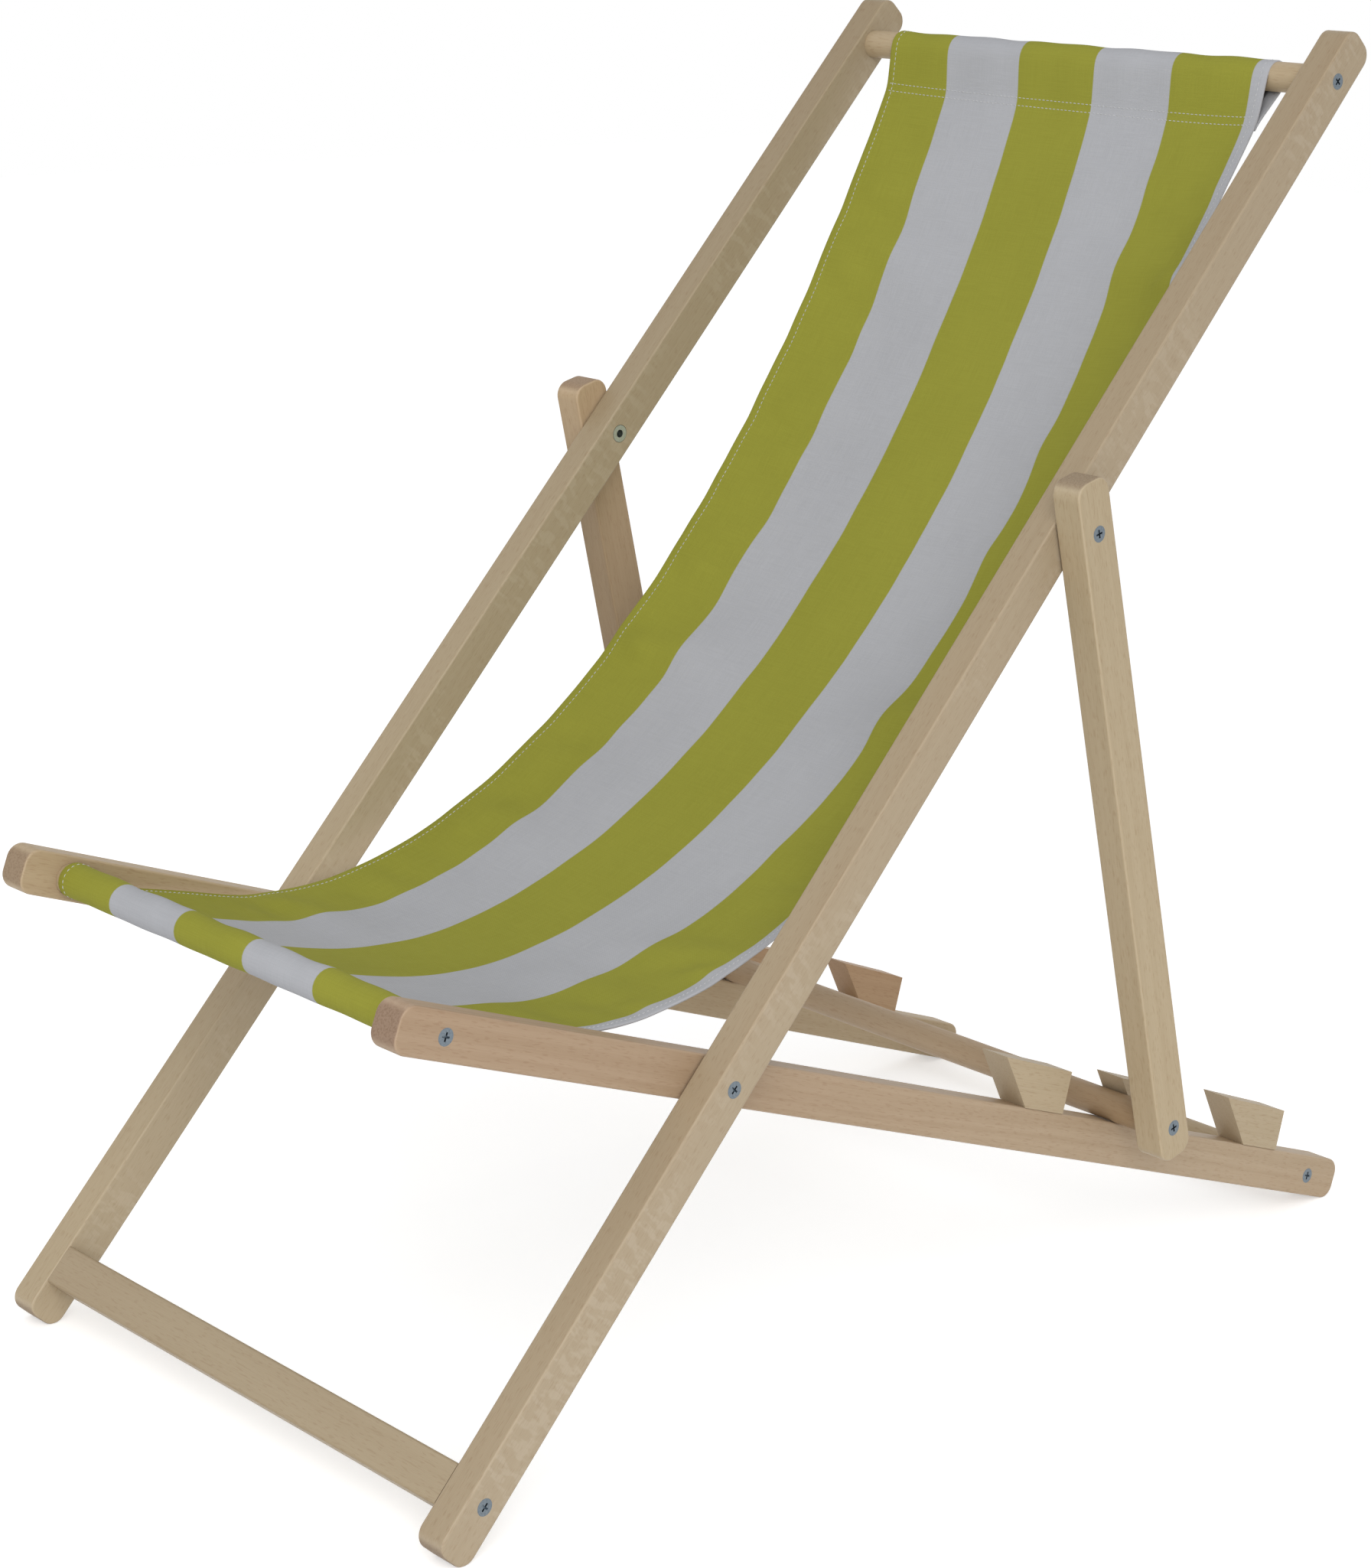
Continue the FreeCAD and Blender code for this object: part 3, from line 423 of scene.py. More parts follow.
# Each kind of timber: the start of its nodes' names, its grain's way, lines, figure and the strength
# of its painted edge highlight, the share of its length over which its colour changes, and the colour
# before and after that, which is partly the timber's own tone and partly painted shade
TIMBERS = (
    # the back rails darken towards the head bar: painted shade where less light falls
    ("back_rail_left", BACK_WAY, 0.4, 1.0, 1.0, 1.0, (0.80, 0.78, 0.765), (0.69, 0.665, 0.635)),
    ("back_rail_right", BACK_WAY, 0.4, 0.9, 1.0, 1.0, (0.925, 0.915, 0.885), (0.655, 0.635, 0.59)),
    ("seat_rail_left", SEAT_WAY, 1.0, 0.1, 1.0, 1.0, (0.775, 0.68, 0.655), (0.945, 0.895, 0.885)),
    ("seat_rail_right", SEAT_WAY, 0.6, 0.1, 1.0, 1.0, (0.87, 0.81, 0.735), (1.0, 0.965, 0.91)),
    ("prop_leg_left", PROP_WAY, 0.4, 0.1, 1.0, 1.0, (0.845, 0.835, 0.79), (0.965, 0.955, 0.91)),
    # the right prop leg's lower part is darker: painted shadow of the sling and back rail over its
    # own pinker tone
    ("prop_leg_right", PROP_WAY, 0.4, 0.1, 1.0, 0.35, (0.93, 0.85, 0.775), (0.61, 0.535, 0.455)),
    ("notch_block_left", SEAT_WAY, 0.5, 0.0, 0.6, 1.0, (0.945, 0.935, 0.91), (0.945, 0.935, 0.91)),
    ("notch_block_right", SEAT_WAY, 0.5, 0.0, 0.6, 1.0, (0.955, 0.78, 0.67), (0.955, 0.78, 0.67)),
    ("foot_slat", ACROSS, 0.5, 0.0, 1.0, 1.0, (0.755, 0.73, 0.68), (0.755, 0.73, 0.68)),
    ("head_dowel", ACROSS, 0.5, 0.0, 0.0, 1.0, BAR_TONE, BAR_TONE),
    ("front_dowel", ACROSS, 0.5, 0.0, 0.0, 1.0, BAR_TONE, BAR_TONE),
    ("rear_dowel", ACROSS, 0.5, 0.0, 0.0, 1.0, BAR_TONE, BAR_TONE),
    ("prop_dowel", -ACROSS, 0.5, 0.0, 0.0, 0.5, (0.664, 0.564, 0.479), (0.97, 0.89, 0.86)),
)
# How far apart in the wood two timbers are cut
CUT_STEP = (0.31, 1.7, 0.23)
# How the names of the fasteners' nodes end
FASTENERS = ("screws", "bolts", "nuts", "washers")


class DECKCHAIR_OT_timbers(bpy.types.Operator):
    """Gives every timber its own piece of bare beech"""

    bl_idname = "deck_chair.timbers"
    bl_label = "Timbers"

    def execute(self, context):
        beech = context.scene.deck_chair_beech
        group = make_beech_group()
        names = [name for name in sorted(frame["nodes"]) if not name.endswith(FASTENERS)]
        for start, way, *looks in TIMBERS:
            for number, name in enumerate(names):
                if name.startswith(start):
                    cut_from = tuple(step * number for step in CUT_STEP)
                    set_material(name, make_beech(name, group, beech, way, cut_from, *looks))
        return {"FINISHED"}


# Zinc

# What the plating's colour is multiplied by in its dull spangles
SPANGLE_TINT = (0.70, 0.72, 0.76, 1.0)


def make_zinc(name, plating):
    """Zinc plating with a faint spangle."""
    material, tree, shader = new_material(name)
    place = add_node(tree, "ShaderNodeTexCoord").outputs["Object"]
    spangle = stretched_noise(tree, place, (900.0, 900.0, 900.0), 2.0)
    dull = ramp(tree, spangle, 0.40, 0.68, 0.0, 0.5)
    body = mixed(tree, "MULTIPLY", dull, opaque(plating), SPANGLE_TINT)
    rough = ramp(tree, spangle, 0.3, 0.7, 0.28, 0.46)
    join_looks(tree, shader, body, rough, spangle, 0.15, 0.0002)
    shader.inputs["Metallic"].default_value = 1.0
    return material


class DECKCHAIR_OT_fasteners(bpy.types.Operator):
    """Gives the screws, bolts, sleeve nuts and washers their zinc plating"""

    bl_idname = "deck_chair.fasteners"
    bl_label = "Fasteners"

    def execute(self, context):
        zinc = context.scene.deck_chair_zinc
        plain = make_zinc("zinc_plating", zinc.zinc)
        bright = make_zinc("zinc_nuts", zinc.nuts)
        for name in frame["nodes"]:
            if name.endswith(FASTENERS):
                set_material(name, bright if name.endswith("nuts") else plain)
        return {"FINISHED"}


# The sling's shape

# Folds that run in from each hem: distance below the head seam and height, in metres
RIGHT_FOLDS = (
    (0.055, 0.0014), (0.112, 0.0026), (0.212, 0.0016), (0.276, 0.0016), (0.332, 0.0026),
    (0.402, 0.0044), (0.514, 0.0022), (0.572, 0.0028), (0.640, 0.0010), (0.715, 0.0030),
)
LEFT_FOLDS = (
    (0.030, 0.0016), (0.092, 0.0044), (0.216, 0.0034), (0.290, 0.0034), (0.412, 0.0058),
    (0.520, 0.0014), (0.624, 0.0034), (0.675, 0.0020), (0.745, 0.0022),
)
# The width of a fold, its highest place's distance from the hem, its reach from there, its slant down
# the cloth, how far the cloth sinks between folds, and the length in which they die out at a seam
FOLD_WIDE = 0.019
FOLD_PLACE = 0.052
FOLD_REACH = 0.042
FOLD_SLANT = 0.12
FOLD_SINK = 0.0010
FOLD_END = 0.05
# A narrow crease runs beside each fold: its shift along the hem, width, share of the fold's height,
# distance from the hem and reach, and how much more it slants
CREASE = (0.014, 0.009, 0.85, 0.020, 0.013)
CREASE_SLANT = 0.5 * FOLD_SLANT
# Small puckers beside the hem: wavelength, height, place and reach, and how many times longer their
# second wave is
PUCKER = (0.031, 0.0006, 0.032, 0.018)
PUCKER_SECOND = 1.62
# Gathers round the bars: the two waves across the cloth, the second one's drift down it, their place
# beyond a seam and their reach
GATHER_WAVES = (0.0063, 0.0117)
GATHER_DRIFT = 80.0
GATHER_PLACE = 0.03
GATHER_REACH = 0.05
# Where the cloth bulges up behind the front bar
RISE_PLACE = 0.045
# Within how many hem widths of the edge the layers of a sleeve part
HEM_PARTING = 2.2
# The mesh: its steps down and across the cloth, the steps of a hem, and how often lines are softened
ROW_STEP = 0.0025
COLUMN_STEP = 0.005
HEM_STEPS = 3
SOFT_PASSES = 4
# How many rows inside its sleeves lie the two points of the cloth that hang_sling_piece takes
BLEND_ROWS = 12
# Small amounts that keep a place inside its grid and a length above nothing
JUST_INSIDE = 1e-6
TINY = 1e-9


def turn_between(first, second):
    """The angle from one vector of the side plane to another."""
    return math.atan2(
        first.y * second.z - first.z * second.y, first.y * second.y + first.z * second.z
    )


def run_line(start, way, end, into, hold, front_hold, steps=160):
    """Points of the smooth curve that leaves one point a given way and comes into another."""
    corners = (start, start + way * hold, end - into * front_hold, end)
    line = []
    for step in range(steps + 1):
        at = step / steps
        weights = ((1 - at) ** 3, 3 * at * (1 - at) ** 2, 3 * at * at * (1 - at), at**3)
        line.append(sum((corner * weight for corner, weight in zip(corners, weights)), Vector()))
    return line


def sleeve_line(bar, pull, enter, leave, radius, steps=60):
    """Points from one place, round the far side of a bar, to another. The seam is pulled one way."""
    first = turn_between(pull, enter - bar) + math.acos(radius / (enter - bar).length)
    last = 2 * math.pi + turn_between(pull, leave - bar) - math.acos(radius / (leave - bar).length)
    turns = [first + (last - first) * step / steps for step in range(steps + 1)]
    return [enter, *(bar + turned(pull * radius, turn) for turn in turns), leave]


def line_length(line):
    """The length of a line of points."""
    return sum((b - a).length for a, b in zip(line, line[1:]))


def evenly(line, count):
    """Points that divide a line into equal steps."""
    total = line_length(line)
    spaced, at, walked = [], 0, 0.0
    for mark in (total * step / count for step in range(count + 1)):
        while at < len(line) - 2 and walked + (line[at + 1] - line[at]).length < mark:
            walked += (line[at + 1] - line[at]).length
            at += 1
        run = line[at + 1] - line[at]
        spaced.append(line[at] + run * min((mark - walked) / max(run.length, TINY), 1.0))
    return spaced


def softened(line, passes):
    """A line with its corners eased and its ends kept."""
    for _ in range(passes):
        inner = [(a + b * 2 + c) / 4 for a, b, c in zip(line, line[1:], line[2:])]
        line = [line[0], *inner, line[-1]]
    return line


def eased(value):
    """A smooth step from 0 to 1."""
    value = min(max(value, 0.0), 1.0)
    return value * value * (3 - 2 * value)


def hill(value):
    """A smooth hill that is 1 high at 0."""
    return math.exp(-value * value)


class SlingShape:
    """Where the sling's cloth lies. Rows are counted down the cloth, from its end behind the head
    bar to its end under the front bar, and across is measured from its middle line."""

    def __init__(self, sling):
        self.sling = sling
        self.half = sling.width / 2
        self.counts = [round(line_length(part) / ROW_STEP) for part in self.parts(0.0)]
        self.head_row = self.counts[0]
        self.front_row = self.head_row + self.counts[1]
        self.last_row = self.front_row + self.counts[2]
        self.tail_rows = sling.tail / ROW_STEP
        self.steps = 2 * round(self.half / COLUMN_STEP)
        self.columns = [self.half * (2 * step / self.steps - 1) for step in range(self.steps + 1)]
        self.grid = [self.column(across) for across in self.columns]
        self.spread()
        self.faces = [
            [self.facing(row, column) for row in range(self.last_row + 1)]
            for column in range(self.steps + 1)
        ]

    def parts(self, across):
        """The line of one column: the head sleeve, the run and the front sleeve."""
        sling = self.sling
        right = math.exp(-(self.half + across) / sling.hem_reach)
        left = math.exp(-(self.half - across) / sling.hem_reach)

        def pulled(inner, at_right, at_left):
            """An angle between its value inside the cloth and those at the taut hems."""
            return inner + right * (at_right - inner) + left * (at_left - inner)

        head_turn = pulled(sling.head_angle, sling.head_angle_right, sling.head_angle_left)
        front_turn = pulled(sling.front_angle, sling.front_angle_right, sling.front_angle_left)
        away = turned(-BACK_WAY, head_turn)
        into = turned(-SEAT_WAY, front_turn)
        start = HEAD_BAR + away * (sling.sleeve_length + sling.seam_slant * across / self.half)
        end = FRONT_BAR - into * sling.sleeve_length
        # where two layers are sewn together, the hems hold them further apart
        past_start = abs(across) - self.half + HEM_PARTING * sling.hem
        thick = eased(past_start / ((HEM_PARTING - 1) * sling.hem))
        gap = sling.seam_gap + thick * sling.seam_spread
        behind = start - turned(away, -QUARTER) * gap
        under = end - turned(into, -QUARTER) * gap
        radius = BAR_RADIUS + sling.sleeve_room + sling.cloth / 2
        head = [behind + away * sling.tail, *sleeve_line(HEAD_BAR, away, behind, start, radius)]
        front = [*sleeve_line(FRONT_BAR, -into, end, under, radius), under - into * sling.tail]
        front_hold = sling.front_hold + (right + left) * sling.hem_hold
        return head, run_line(start, away, end, into, sling.head_hold, front_hold), front

    def column(self, across):
        """The points of one column, with its folds and gathers."""
        line = []
        for part, count in zip(self.parts(across), self.counts):
            line += evenly(part, count)[1 if line else 0 :]
        line = softened(line, SOFT_PASSES)
        ways = [(b - a).normalized() for a, b in zip([line[0], *line], [*line[1:], line[-1]])]
        return [
            point + turned(way, -QUARTER) * self.lift(row, across)
            for row, (point, way) in enumerate(zip(line, ways))
        ]

    def lift(self, row, across):
        """How far folds, gathers and the bulge lift the cloth towards its printed side."""
        sling = self.sling
        below = (row - self.head_row) * ROW_STEP
        above = (self.front_row - row) * ROW_STEP
        free = eased(min(below, above) / FOLD_END)
        ridge = self.ridge(below, self.half - abs(across), 1 if across > 0 else -1)
        narrow, wide = (across / wave for wave in GATHER_WAVES)
        gathers = math.sin(narrow + 1.0) + math.sin(wide + GATHER_DRIFT * below)
        from_bar = min(abs(below + GATHER_PLACE), abs(above + GATHER_PLACE))
        round_bar = eased(1 - from_bar / GATHER_REACH)
        taut = math.exp(-(self.half + across) / sling.hem_reach)
        rise = sling.front_rise + (sling.front_rise_right - sling.front_rise) * taut
        rise *= hill((above - RISE_PLACE) / RISE_PLACE)
        return free * ridge + rise + sling.gather * (gathers / 2 + 1) * round_bar

    def ridge(self, below, in_from, side):
        """The height of the folds, creases and puckers beside one hem."""
        ridge = -FOLD_SINK
        crease = 0.0
        beside, narrow, part, inwards, reach = CREASE
        for place, high in LEFT_FOLDS if side > 0 else RIGHT_FOLDS:
            past = below - place - FOLD_SLANT * in_from
            ridge += high * hill(past / FOLD_WIDE)
            crease += part * high * hill((past - beside - CREASE_SLANT * in_from) / narrow)
        ridge *= hill((in_from - FOLD_PLACE) / FOLD_REACH)
        ridge += crease * hill((in_from - inwards) / reach)
        wave, high, inwards, reach = PUCKER
        turns = 2 * math.pi * below / wave
        ripple = math.sin(turns + side) + math.sin(turns / PUCKER_SECOND)
        return ridge + high * ripple * hill((in_from - inwards) / reach)

    def spread(self):
        """Sets the columns side by side, so that the cloth keeps its width where it slopes."""
        sling = self.sling
        wide = self.columns[1] - self.columns[0]
        centre = self.steps // 2
        for row in range(self.last_row + 1):
            down = min(max((row - self.head_row) / self.counts[1], 0.0), 1.0)
            slid = sling.head_shift + (sling.front_shift - sling.head_shift) * down
            line = self.grid[centre]
            run = line[min(row + 1, self.last_row)] - line[max(row - 1, 0)]
            face = turned(run.normalized(), -QUARTER)
            over = [column[row] for column in self.grid]
            rises = [(b - a).dot(face) for a, b in zip(over, over[1:])]
            steps = [math.sqrt(max(wide**2 - rise**2, (0.5 * wide) ** 2)) for rise in rises]
            over[centre].x = slid
            for column in range(centre, self.steps):
                over[column + 1].x = over[column].x + steps[column]
            for column in range(centre, 0, -1):
                over[column - 1].x = over[column].x - steps[column - 1]

    def facing(self, row, column):
        """The way that the printed side faces at a point of the grid."""
        here = self.grid[column]
        down = here[min(row + 1, self.last_row)] - here[max(row - 1, 0)]
        over = self.grid[min(column + 1, self.steps)][row] - self.grid[max(column - 1, 0)][row]
        return down.cross(over).normalized()

    def between(self, values, row, across):
        """A value between the points of the grid."""
        at_row = min(max(row, 0.0), self.last_row - JUST_INSIDE)
        at_column = (across + self.half) / (2 * self.half) * self.steps
        at_column = min(max(at_column, 0.0), self.steps - JUST_INSIDE)
        i, j = int(at_row), int(at_column)
        low = values[j][i].lerp(values[j][i + 1], at_row - i)
        high = values[j + 1][i].lerp(values[j + 1][i + 1], at_row - i)
        return low.lerp(high, at_column - j)

    def face(self, row, across):
        """The way that the printed side faces."""
        return self.between(self.faces, row, across).normalized()

    def point(self, row, across, depth=0.0):
        """A point of the cloth, or in front of its printed side by a depth."""
        return self.between(self.grid, row, across) + self.face(row, across) * depth

    def strips(self):
        """Across, depth and place in the flat cloth of each line down the sling, hem to hem."""
        sling = self.sling
        fold = sling.hem_gap / 2
        shares = [step / HEM_STEPS for step in range(HEM_STEPS + 1)]
        hem = [(-self.half + sling.hem - (sling.hem - fold) * part, -2 * fold) for part in shares]
        hem += [
            (-self.half + fold - fold * math.cos(turn), -fold + fold * math.sin(turn))
            for turn in (-QUARTER / 2, 0.0, QUARTER / 2)
        ]
        right = [(across, depth, -across - self.half) for across, depth in hem]
        left = [(-across, depth, sling.width - place) for across, depth, place in reversed(right)]
        inner = [-self.half + fold, *self.columns[1:-1], self.half - fold]
        return [*right, *((across, 0.0, across + self.half) for across in inner), *left]


def new_piece(name, points, faces, materials):
    """A smooth mesh piece in the scene."""
    mesh = bpy.data.meshes.new(name)
    mesh.from_pydata(points, [], faces)
    mesh.polygons.foreach_set("use_smooth", [True] * len(mesh.polygons))
    for material in materials:
        mesh.materials.append(material)
    made = bpy.data.objects.new(name, mesh)
    bpy.context.scene.collection.objects.link(made)
    return made


def hang_sling_piece(piece, shape):
    """Bakes a piece of the sling's placement into its mesh. The two points it takes inside the
    sleeves are not used.
    """
    start = shape.point(shape.front_row - BLEND_ROWS, 0.0)
    end = shape.point(shape.head_row + BLEND_ROWS, 0.0)
    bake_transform(piece)


# The sling's cloth

# The weave's pitch, how far the stripes' edges wander, half the width in which they blur, how white
# green stripes are on the plain side, and what the colours are multiplied by where cloth is dull
WEAVE_PITCH = 0.0010
STRIPE_WANDER = 0.006
STRIPE_BLUR = 0.0004
SHOWN_THROUGH = 0.86
CANVAS_TINT = (0.88, 0.88, 0.88, 1.0)


def make_canvas_group():
    """Plain weave with uneven threads. Place holds metres across and along the cloth."""
    tree, source, result = new_group(
        "canvas_weave", {"Place": "Vector", "Pitch": "Float"}, {"Shade": "Float", "Height": "Float"}
    )
    parts = add_node(tree, "ShaderNodeSeparateXYZ", {0: source["Place"]}).outputs
    full_turn = calc(tree, "DIVIDE", 2 * math.pi, source["Pitch"])
    over, under = (calc(tree, "SINE", calc(tree, "MULTIPLY", part, full_turn)) for part in parts[:2])
    weave = calc(tree, "MULTIPLY", over, under)
    warp = stretched_noise(tree, source["Place"], (1500.0, 45.0, 1.0), 1.0)
    weft = stretched_noise(tree, source["Place"], (45.0, 1500.0, 1.0), 1.0)
    slub = calc(tree, "ADD", warp, weft)
    soiled = stretched_noise(tree, source["Place"], (14.0, 9.0, 1.0), 3.0)
    uneven = ramp(tree, slub, 0.7, 1.3, 0.0, 0.6)
    shade = calc(tree, "ADD", uneven, ramp(tree, soiled, 0.35, 0.7, 0.0, 0.4))
    tree.links.new(calc(tree, "MULTIPLY_ADD", weave, 0.12, shade), result["Shade"])
    tree.links.new(calc(tree, "MULTIPLY_ADD", weave, 0.35, slub), result["Height"])
    return tree


def make_canvas(name, group, sling, printed):
    """Striped canvas. The stripes only show through faintly on its plain side."""
    material, tree, shader = new_material(name)
    place = add_node(tree, "ShaderNodeUVMap", uv_map="cloth").outputs[0]
    parts = add_node(tree, "ShaderNodeSeparateXYZ", {0: place}).outputs
    wobble = stretched_noise(tree, place, (3.0, 11.0, 1.0), 2.0)
    wobble = calc(tree, "SUBTRACT", wobble, 0.5)
    across = calc(tree, "MULTIPLY_ADD", wobble, STRIPE_WANDER, parts[0])
    across = calc(tree, "SUBTRACT", across, sling.first_stripe)
    beats = calc(tree, "DIVIDE", across, sling.stripe / math.pi)
    blur = STRIPE_BLUR * math.pi / sling.stripe
    is_white = ramp(tree, calc(tree, "SINE", beats), -blur, blur)
    shown = is_white if printed else ramp(tree, is_white, 0.0, 1.0, SHOWN_THROUGH, 1.0)
    body = mixed(tree, "MIX", shown, opaque(sling.green), opaque(sling.white))
    inputs = {"Place": place, "Pitch": WEAVE_PITCH}
    weave = add_node(tree, "ShaderNodeGroup", inputs, node_tree=group).outputs
    shade = calc(tree, "MULTIPLY", weave["Shade"], 0.75)
    body = mixed(tree, "MULTIPLY", shade, body, CANVAS_TINT)
    rough = ramp(tree, weave["Shade"], 0.0, 1.2, 0.82, 0.94)
    join_looks(tree, shader, body, rough, weave["Height"], 0.30, 0.0003)
    shader.inputs["Specular IOR Level"].default_value = 0.15
    return material


class DECKCHAIR_OT_sling(bpy.types.Operator):
    """Makes the sling: one striped strip with a sleeve round each bar and a hem down each side"""

    bl_idname = "deck_chair.sling"
    bl_label = "Sling"

    def execute(self, context):
        sling = context.scene.deck_chair_sling
        shape = SlingShape(sling)
        strips = shape.strips()
        wide = len(strips)
        rows = range(shape.last_row + 1)
        points = [shape.point(row, across, depth) for row in rows for across, depth, _ in strips]
        flat = [(place, row * ROW_STEP) for row in rows for _, _, place in strips]
        faces = []
        for row in rows[:-1]:
            for column in range(wide - 1):
                first = row * wide + column
                faces.append((first, first + wide, first + wide + 1, first + 1))
        group = make_canvas_group()
        materials = [
            make_canvas("canvas_printed_side", group, sling, True),
            make_canvas("canvas_plain_side", group, sling, False),
        ]
        cloth = new_piece("sling_canvas", points, faces, materials)
        marks = cloth.data.uv_layers.new(name="cloth").data
        for loop in cloth.data.loops:
            marks[loop.index].uv = flat[loop.vertex_index]
        body = cloth.modifiers.new("thickness", "SOLIDIFY")
        body.thickness = sling.cloth
        body.offset = 0.0
        body.material_offset = 1
        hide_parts("sling")
        hang_sling_piece(cloth, shape)
        return {"FINISHED"}


# The sling's stitches

# Rings of one stitch: place along it, share of its thickness and height above the cloth
STITCH_RINGS = ((0.0, 0.45, -0.6), (0.5, 1.0, 0.55), (1.0, 0.45, -0.6))
STITCH_SIDES = 5
# The share of its step that a stitch fills
STITCH_FILL = 0.80
# From a hem's edge to its seam, and how many rows inside the sleeves that seam begins behind
HEM_SEAM = 0.0047
HEM_SEAM_ROWS = 5
# The two lines of a sleeve's seam, from its middle, and how far inside the hems' edges they end
SEAM_LINES = (-0.0026, 0.0025)
SEAM_END = 0.002
# What the thread's colour is multiplied by in its twist
TWIST_TINT = (0.82, 0.82, 0.83, 1.0)


def make_thread(sling):
    """White thread with a soft twist."""
    material, tree, shader = new_material("stitch_thread")
    place = add_node(tree, "ShaderNodeTexCoord").outputs["Object"]
    twist = stretched_noise(tree, place, (2600.0, 2600.0, 2600.0), 1.0)
    hollow = ramp(tree, twist, 0.35, 0.7, 0.0, 0.5)
    body = mixed(tree, "MULTIPLY", hollow, opaque(sling.thread_colour), TWIST_TINT)
    rough = ramp(tree, twist, 0.3, 0.7, 0.6, 0.8)
    join_looks(tree, shader, body, rough, twist, 0.25, 0.0002)
    shader.inputs["Specular IOR Level"].default_value = 0.3
    return material


class Thread:
    """Gathers stitches into one mesh."""

    def __init__(self, shape):
        self.shape = shape
        self.points = []
        self.faces = []

    def stitch(self, first, last, depth):
        """One stitch between two places of the cloth, on the side that the depth's sign gives."""
        shape = self.shape
        side = 1 if depth > 0 else -1
        start, end = shape.point(*first, depth), shape.point(*last, depth)
        face = shape.face((first[0] + last[0]) / 2, (first[1] + last[1]) / 2) * side
        over = (end - start).normalized().cross(face)
        base = len(self.points)
        radius = shape.sling.thread
        for at, thick, high in STITCH_RINGS:
            middle_point = start.lerp(end, at) + face * (high * radius)
            for corner in range(STITCH_SIDES):
                turn = 2 * math.pi * corner / STITCH_SIDES
                way = over * math.cos(turn) + face * math.sin(turn)
                self.points.append(middle_point + way * (radius * thick))
        for ring in range(len(STITCH_RINGS) - 1):
            for corner in range(STITCH_SIDES):
                beside = (corner + 1) % STITCH_SIDES
                low, high = base + ring * STITCH_SIDES, base + (ring + 1) * STITCH_SIDES
                self.faces.append((low + corner, high + corner, high + beside, low + beside))
        last_ring = base + STITCH_SIDES * (len(STITCH_RINGS) - 1)
        self.faces.append(tuple(base + corner for corner in range(STITCH_SIDES)))
        self.faces.append(tuple(last_ring + corner for corner in reversed(range(STITCH_SIDES))))

    def seam(self, first, last, depth):
        """A row of stitches between two places of the cloth."""
        (row, across), (to_row, to_across) = first, last
        run = math.hypot((to_row - row) * ROW_STEP, to_across - across)
        count = round(run / self.shape.sling.stitch)
        for number in range(count):
            ends = []
            for share_of in (number, number + STITCH_FILL):
                part = share_of / count
                ends.append((row + (to_row - row) * part, across + (to_across - across) * part))
            self.stitch(*ends, depth)


class DECKCHAIR_OT_stitches(bpy.types.Operator):
    """Sews the sling: a double seam below each sleeve and one seam down each hem"""

    bl_idname = "deck_chair.stitches"
    bl_label = "Stitches"

    def execute(self, context):
        sling = context.scene.deck_chair_sling
        shape = SlingShape(sling)
        thread = Thread(shape)
        top = sling.cloth / 2
        side = sling.width / 2 - HEM_SEAM
        end = sling.width / 2 - SEAM_END
        tail_end = shape.last_row - shape.tail_rows
        for shift in (line / ROW_STEP for line in SEAM_LINES):
            fronts = (shape.head_row + shift, shape.front_row - shift)
            for row in (*fronts, shape.tail_rows - shift, tail_end + shift):
                thread.seam((row, -end), (row, end), top)
        for across in (-side, side):
            thread.seam((0.5, across), (shape.last_row - 0.5, across), top)
            first = (shape.head_row + HEM_SEAM_ROWS, across)
            last = (shape.front_row - HEM_SEAM_ROWS, across)
            thread.seam(first, last, -top - sling.hem_gap)
        stitches = new_piece("sling_stitches", thread.points, thread.faces, [make_thread(sling)])
        hang_sling_piece(stitches, shape)
        return {"FINISHED"}


# The stage

# Width of the camera's film, in millimetres
FILM_WIDTH = 36.0
# The lamp: the way to it from the chair, the place that it looks at, its distance and its width
LAMP_WAY = Vector((0.66, -0.60, 0.45)).normalized()
LAMP_AIM = Vector((0.0, 0.0, 0.35))
LAMP_DISTANCE = 3.0
LAMP_WIDTH = 2.4
# The floor: its reach to each side, how far it lies below the feet, and how much brighter it is seen
FLOOR_REACH = 6.0
FLOOR_DROP = 0.0004
FLOOR_GLOW = 0.46


def seen_rays(tree):
    """1 for what the camera sees, also in glossy and clear surfaces, and 0 for light alone."""
    path = add_node(tree, "ShaderNodeLightPath").outputs
    seen = calc(tree, "MAXIMUM", path["Is Camera Ray"], path["Is Glossy Ray"])
    return calc(tree, "MAXIMUM", seen, path["Is Transmission Ray"])


def make_floor(stage):
    """Pale floor that is seen a little brighter than the lamps light it."""
    material, tree, shader = new_material("pale_floor")
    place = add_node(tree, "ShaderNodeTexCoord").outputs["Object"]
    patchy = ramp(tree, stretched_noise(tree, place, (3.0, 3.0, 3.0), 2.0), 0.3, 0.7, 0.0, 0.02)
    body = mixed(tree, "MULTIPLY", patchy, opaque(stage.floor), (0.9, 0.9, 0.9, 1.0))
    tree.links.new(body, shader.inputs["Base Color"])
    shader.inputs["Roughness"].default_value = 1.0
    shader.inputs["Specular IOR Level"].default_value = 0.0
    shader.inputs["Emission Color"].default_value = (1.0, 1.0, 1.0, 1.0)
    glow = calc(tree, "MULTIPLY", seen_rays(tree), FLOOR_GLOW)
    tree.links.new(glow, shader.inputs["Emission Strength"])
    return material


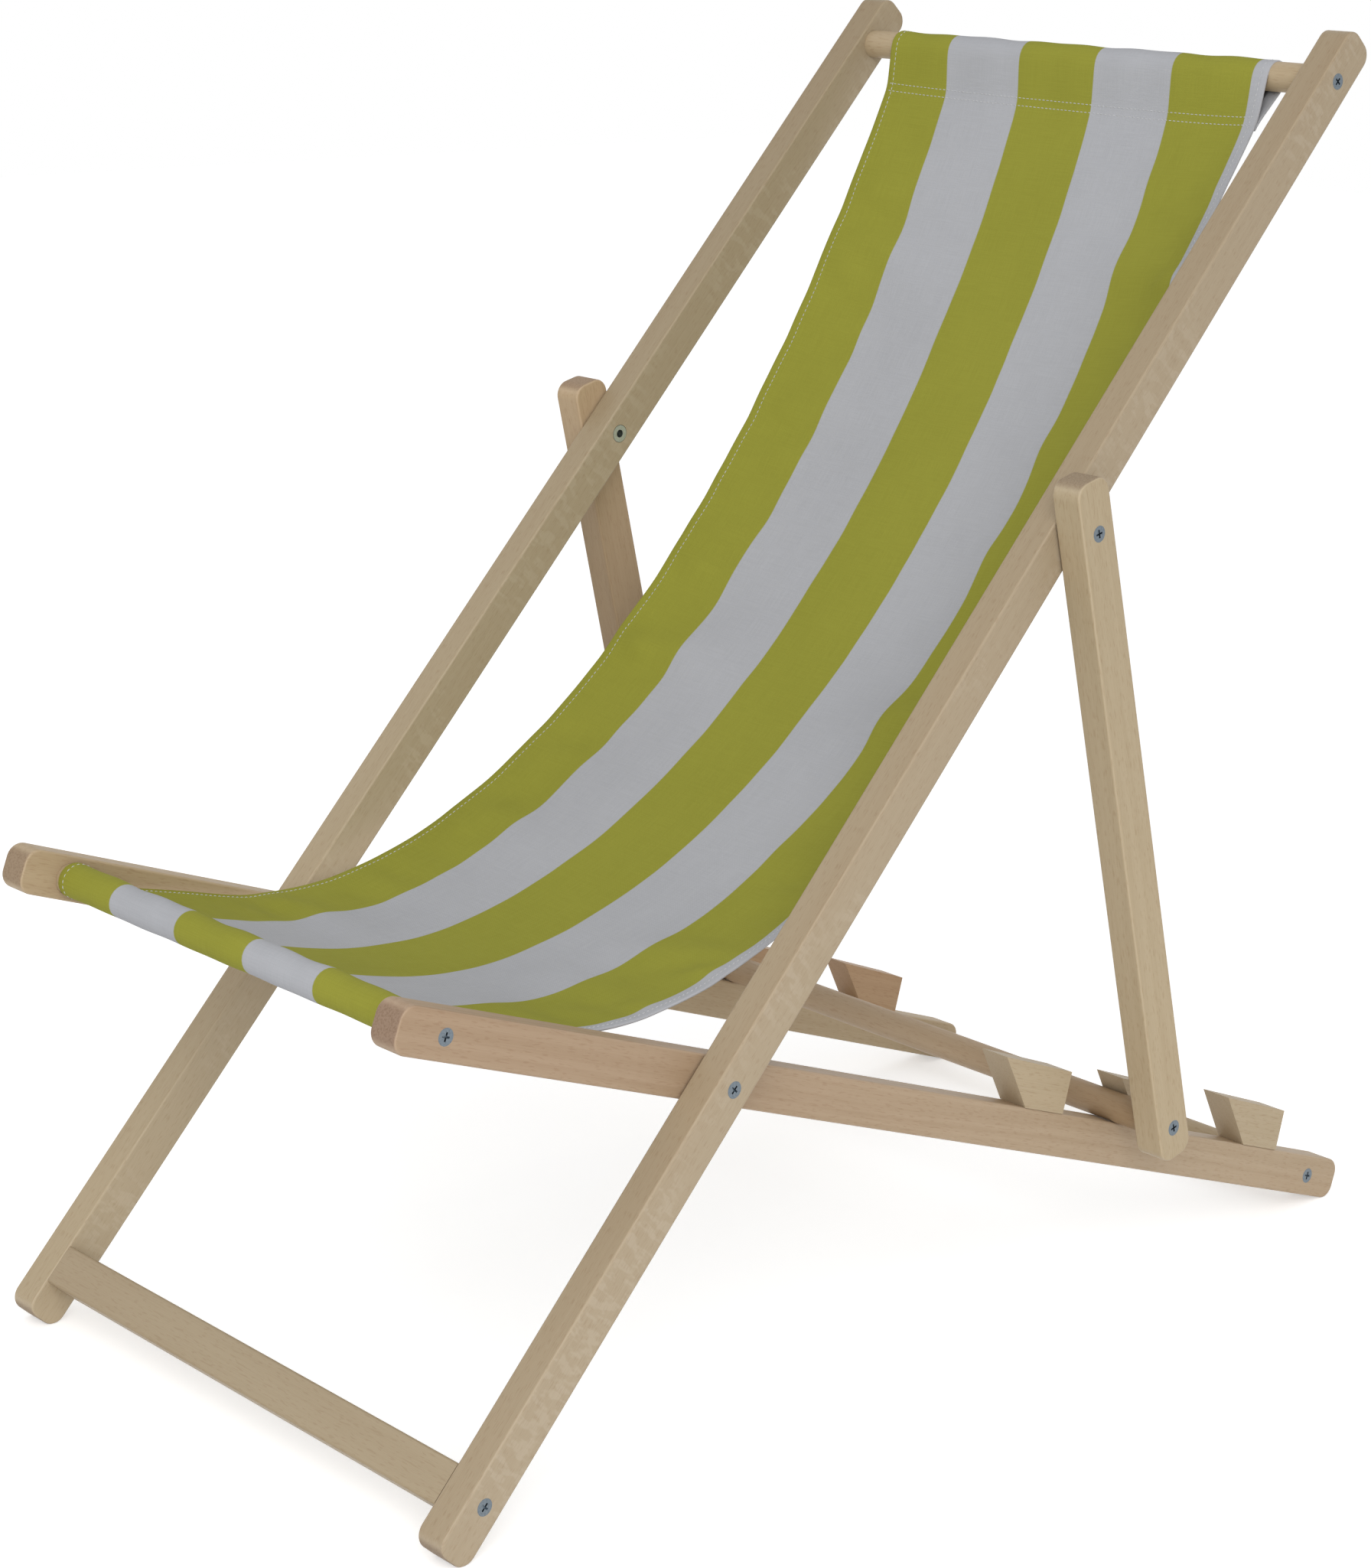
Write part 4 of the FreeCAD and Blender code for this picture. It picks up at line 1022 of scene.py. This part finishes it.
def light_world(scene, stage):
    """Even light from all sides, seen as plain white."""
    scene.world = bpy.data.worlds.new("studio_white")
    scene.world.use_nodes = True
    tree = scene.world.node_tree
    tree.nodes.clear()
    high = add_node(tree, "ShaderNodeTexCoord").outputs["Generated"]
    high = add_node(tree, "ShaderNodeSeparateXYZ", {0: high}).outputs[2]
    lit = ramp(tree, high, 0.0, 1.0, stage.world, stage.world * (1.0 - stage.ceiling))
    level = calc(tree, "MAXIMUM", lit, seen_rays(tree))
    inputs = {"Color": (1.0, 1.0, 1.0, 1.0), "Strength": level}
    light = add_node(tree, "ShaderNodeBackground", inputs)
    add_node(tree, "ShaderNodeOutputWorld", {"Surface": light.outputs[0]})


def aim(made, way):
    """Turns a camera or a lamp so that it looks a given way."""
    made.rotation_mode = "QUATERNION"
    made.rotation_quaternion = way.to_track_quat("-Z", "Y")


class DECKCHAIR_OT_stage(bpy.types.Operator):
    """Sets up the camera, the floor, the world and the lamp"""

    bl_idname = "deck_chair.stage"
    bl_label = "Stage"

    def execute(self, context):
        scene = context.scene
        stage = scene.deck_chair_stage
        scene.view_settings.view_transform = "Standard"

        camera = bpy.data.objects.new("camera", bpy.data.cameras.new("camera"))
        scene.collection.objects.link(camera)
        flat = math.cos(stage.elevation)
        side, front = math.sin(stage.azimuth) * flat, math.cos(stage.azimuth) * flat
        aim(camera, -Vector((side, -front, math.sin(stage.elevation))))
        roll = Quaternion((0, 0, 1), stage.roll)
        camera.rotation_quaternion = camera.rotation_quaternion @ roll
        camera.location = stage.camera_place
        camera.data.sensor_width = FILM_WIDTH
        camera.data.lens = stage.lens
        camera.data.shift_y = stage.rise
        scene.camera = camera

        light_world(scene, stage)
        lamp = bpy.data.objects.new("key_lamp", bpy.data.lights.new("key_lamp", "AREA"))
        scene.collection.objects.link(lamp)
        lamp.data.shape = "DISK"
        lamp.data.size = LAMP_WIDTH
        lamp.data.energy = stage.key
        lamp.location = LAMP_AIM + LAMP_WAY * LAMP_DISTANCE
        aim(lamp, -LAMP_WAY)

        signs = ((-1, -1), (1, -1), (1, 1), (-1, 1))
        corners = [(FLOOR_REACH * x, FLOOR_REACH * y, 0.0) for x, y in signs]
        floor = new_piece("floor", corners, [(0, 1, 2, 3)], [make_floor(stage)])
        floor.location.z = -FLOOR_DROP
        return {"FINISHED"}


class DECKCHAIR_PT_panel(bpy.types.Panel):
    """Lists the steps and their settings"""

    bl_idname = "DECKCHAIR_PT_panel"
    bl_label = "Deck Chair"
    bl_space_type = "VIEW_3D"
    bl_region_type = "UI"
    bl_category = "Deck Chair"

    def draw(self, context):
        for name, (kind, steps) in SETTINGS.items():
            box = self.layout.box()
            for step in steps:
                box.operator(step.bl_idname)
            for label in kind.__annotations__:
                box.prop(getattr(context.scene, name), label)


# Each group of settings in the scene, and the steps that use it
SETTINGS = {
    "deck_chair_beech": (BeechSettings, (DECKCHAIR_OT_timbers,)),
    "deck_chair_zinc": (ZincSettings, (DECKCHAIR_OT_fasteners,)),
    "deck_chair_sling": (SlingSettings, (DECKCHAIR_OT_sling, DECKCHAIR_OT_stitches)),
    "deck_chair_stage": (StageSettings, (DECKCHAIR_OT_stage,)),
}


def register():
    """Adds the settings, the steps and the panel."""
    for name, (kind, steps) in SETTINGS.items():
        bpy.utils.register_class(kind)
        setattr(bpy.types.Scene, name, PointerProperty(type=kind))
        for step in steps:
            bpy.utils.register_class(step)
    bpy.utils.register_class(DECKCHAIR_PT_panel)


def unregister():
    """Takes them away again."""
    bpy.utils.unregister_class(DECKCHAIR_PT_panel)
    for name, (kind, steps) in SETTINGS.items():
        for step in steps:
            bpy.utils.unregister_class(step)
        delattr(bpy.types.Scene, name)
        bpy.utils.unregister_class(kind)


def main():
    """Runs every step."""
    register()
    bpy.ops.deck_chair.timbers()
    bpy.ops.deck_chair.fasteners()
    bpy.ops.deck_chair.sling()
    bpy.ops.deck_chair.stitches()
    bpy.ops.deck_chair.stage()


if __name__ == "__main__":
    main()
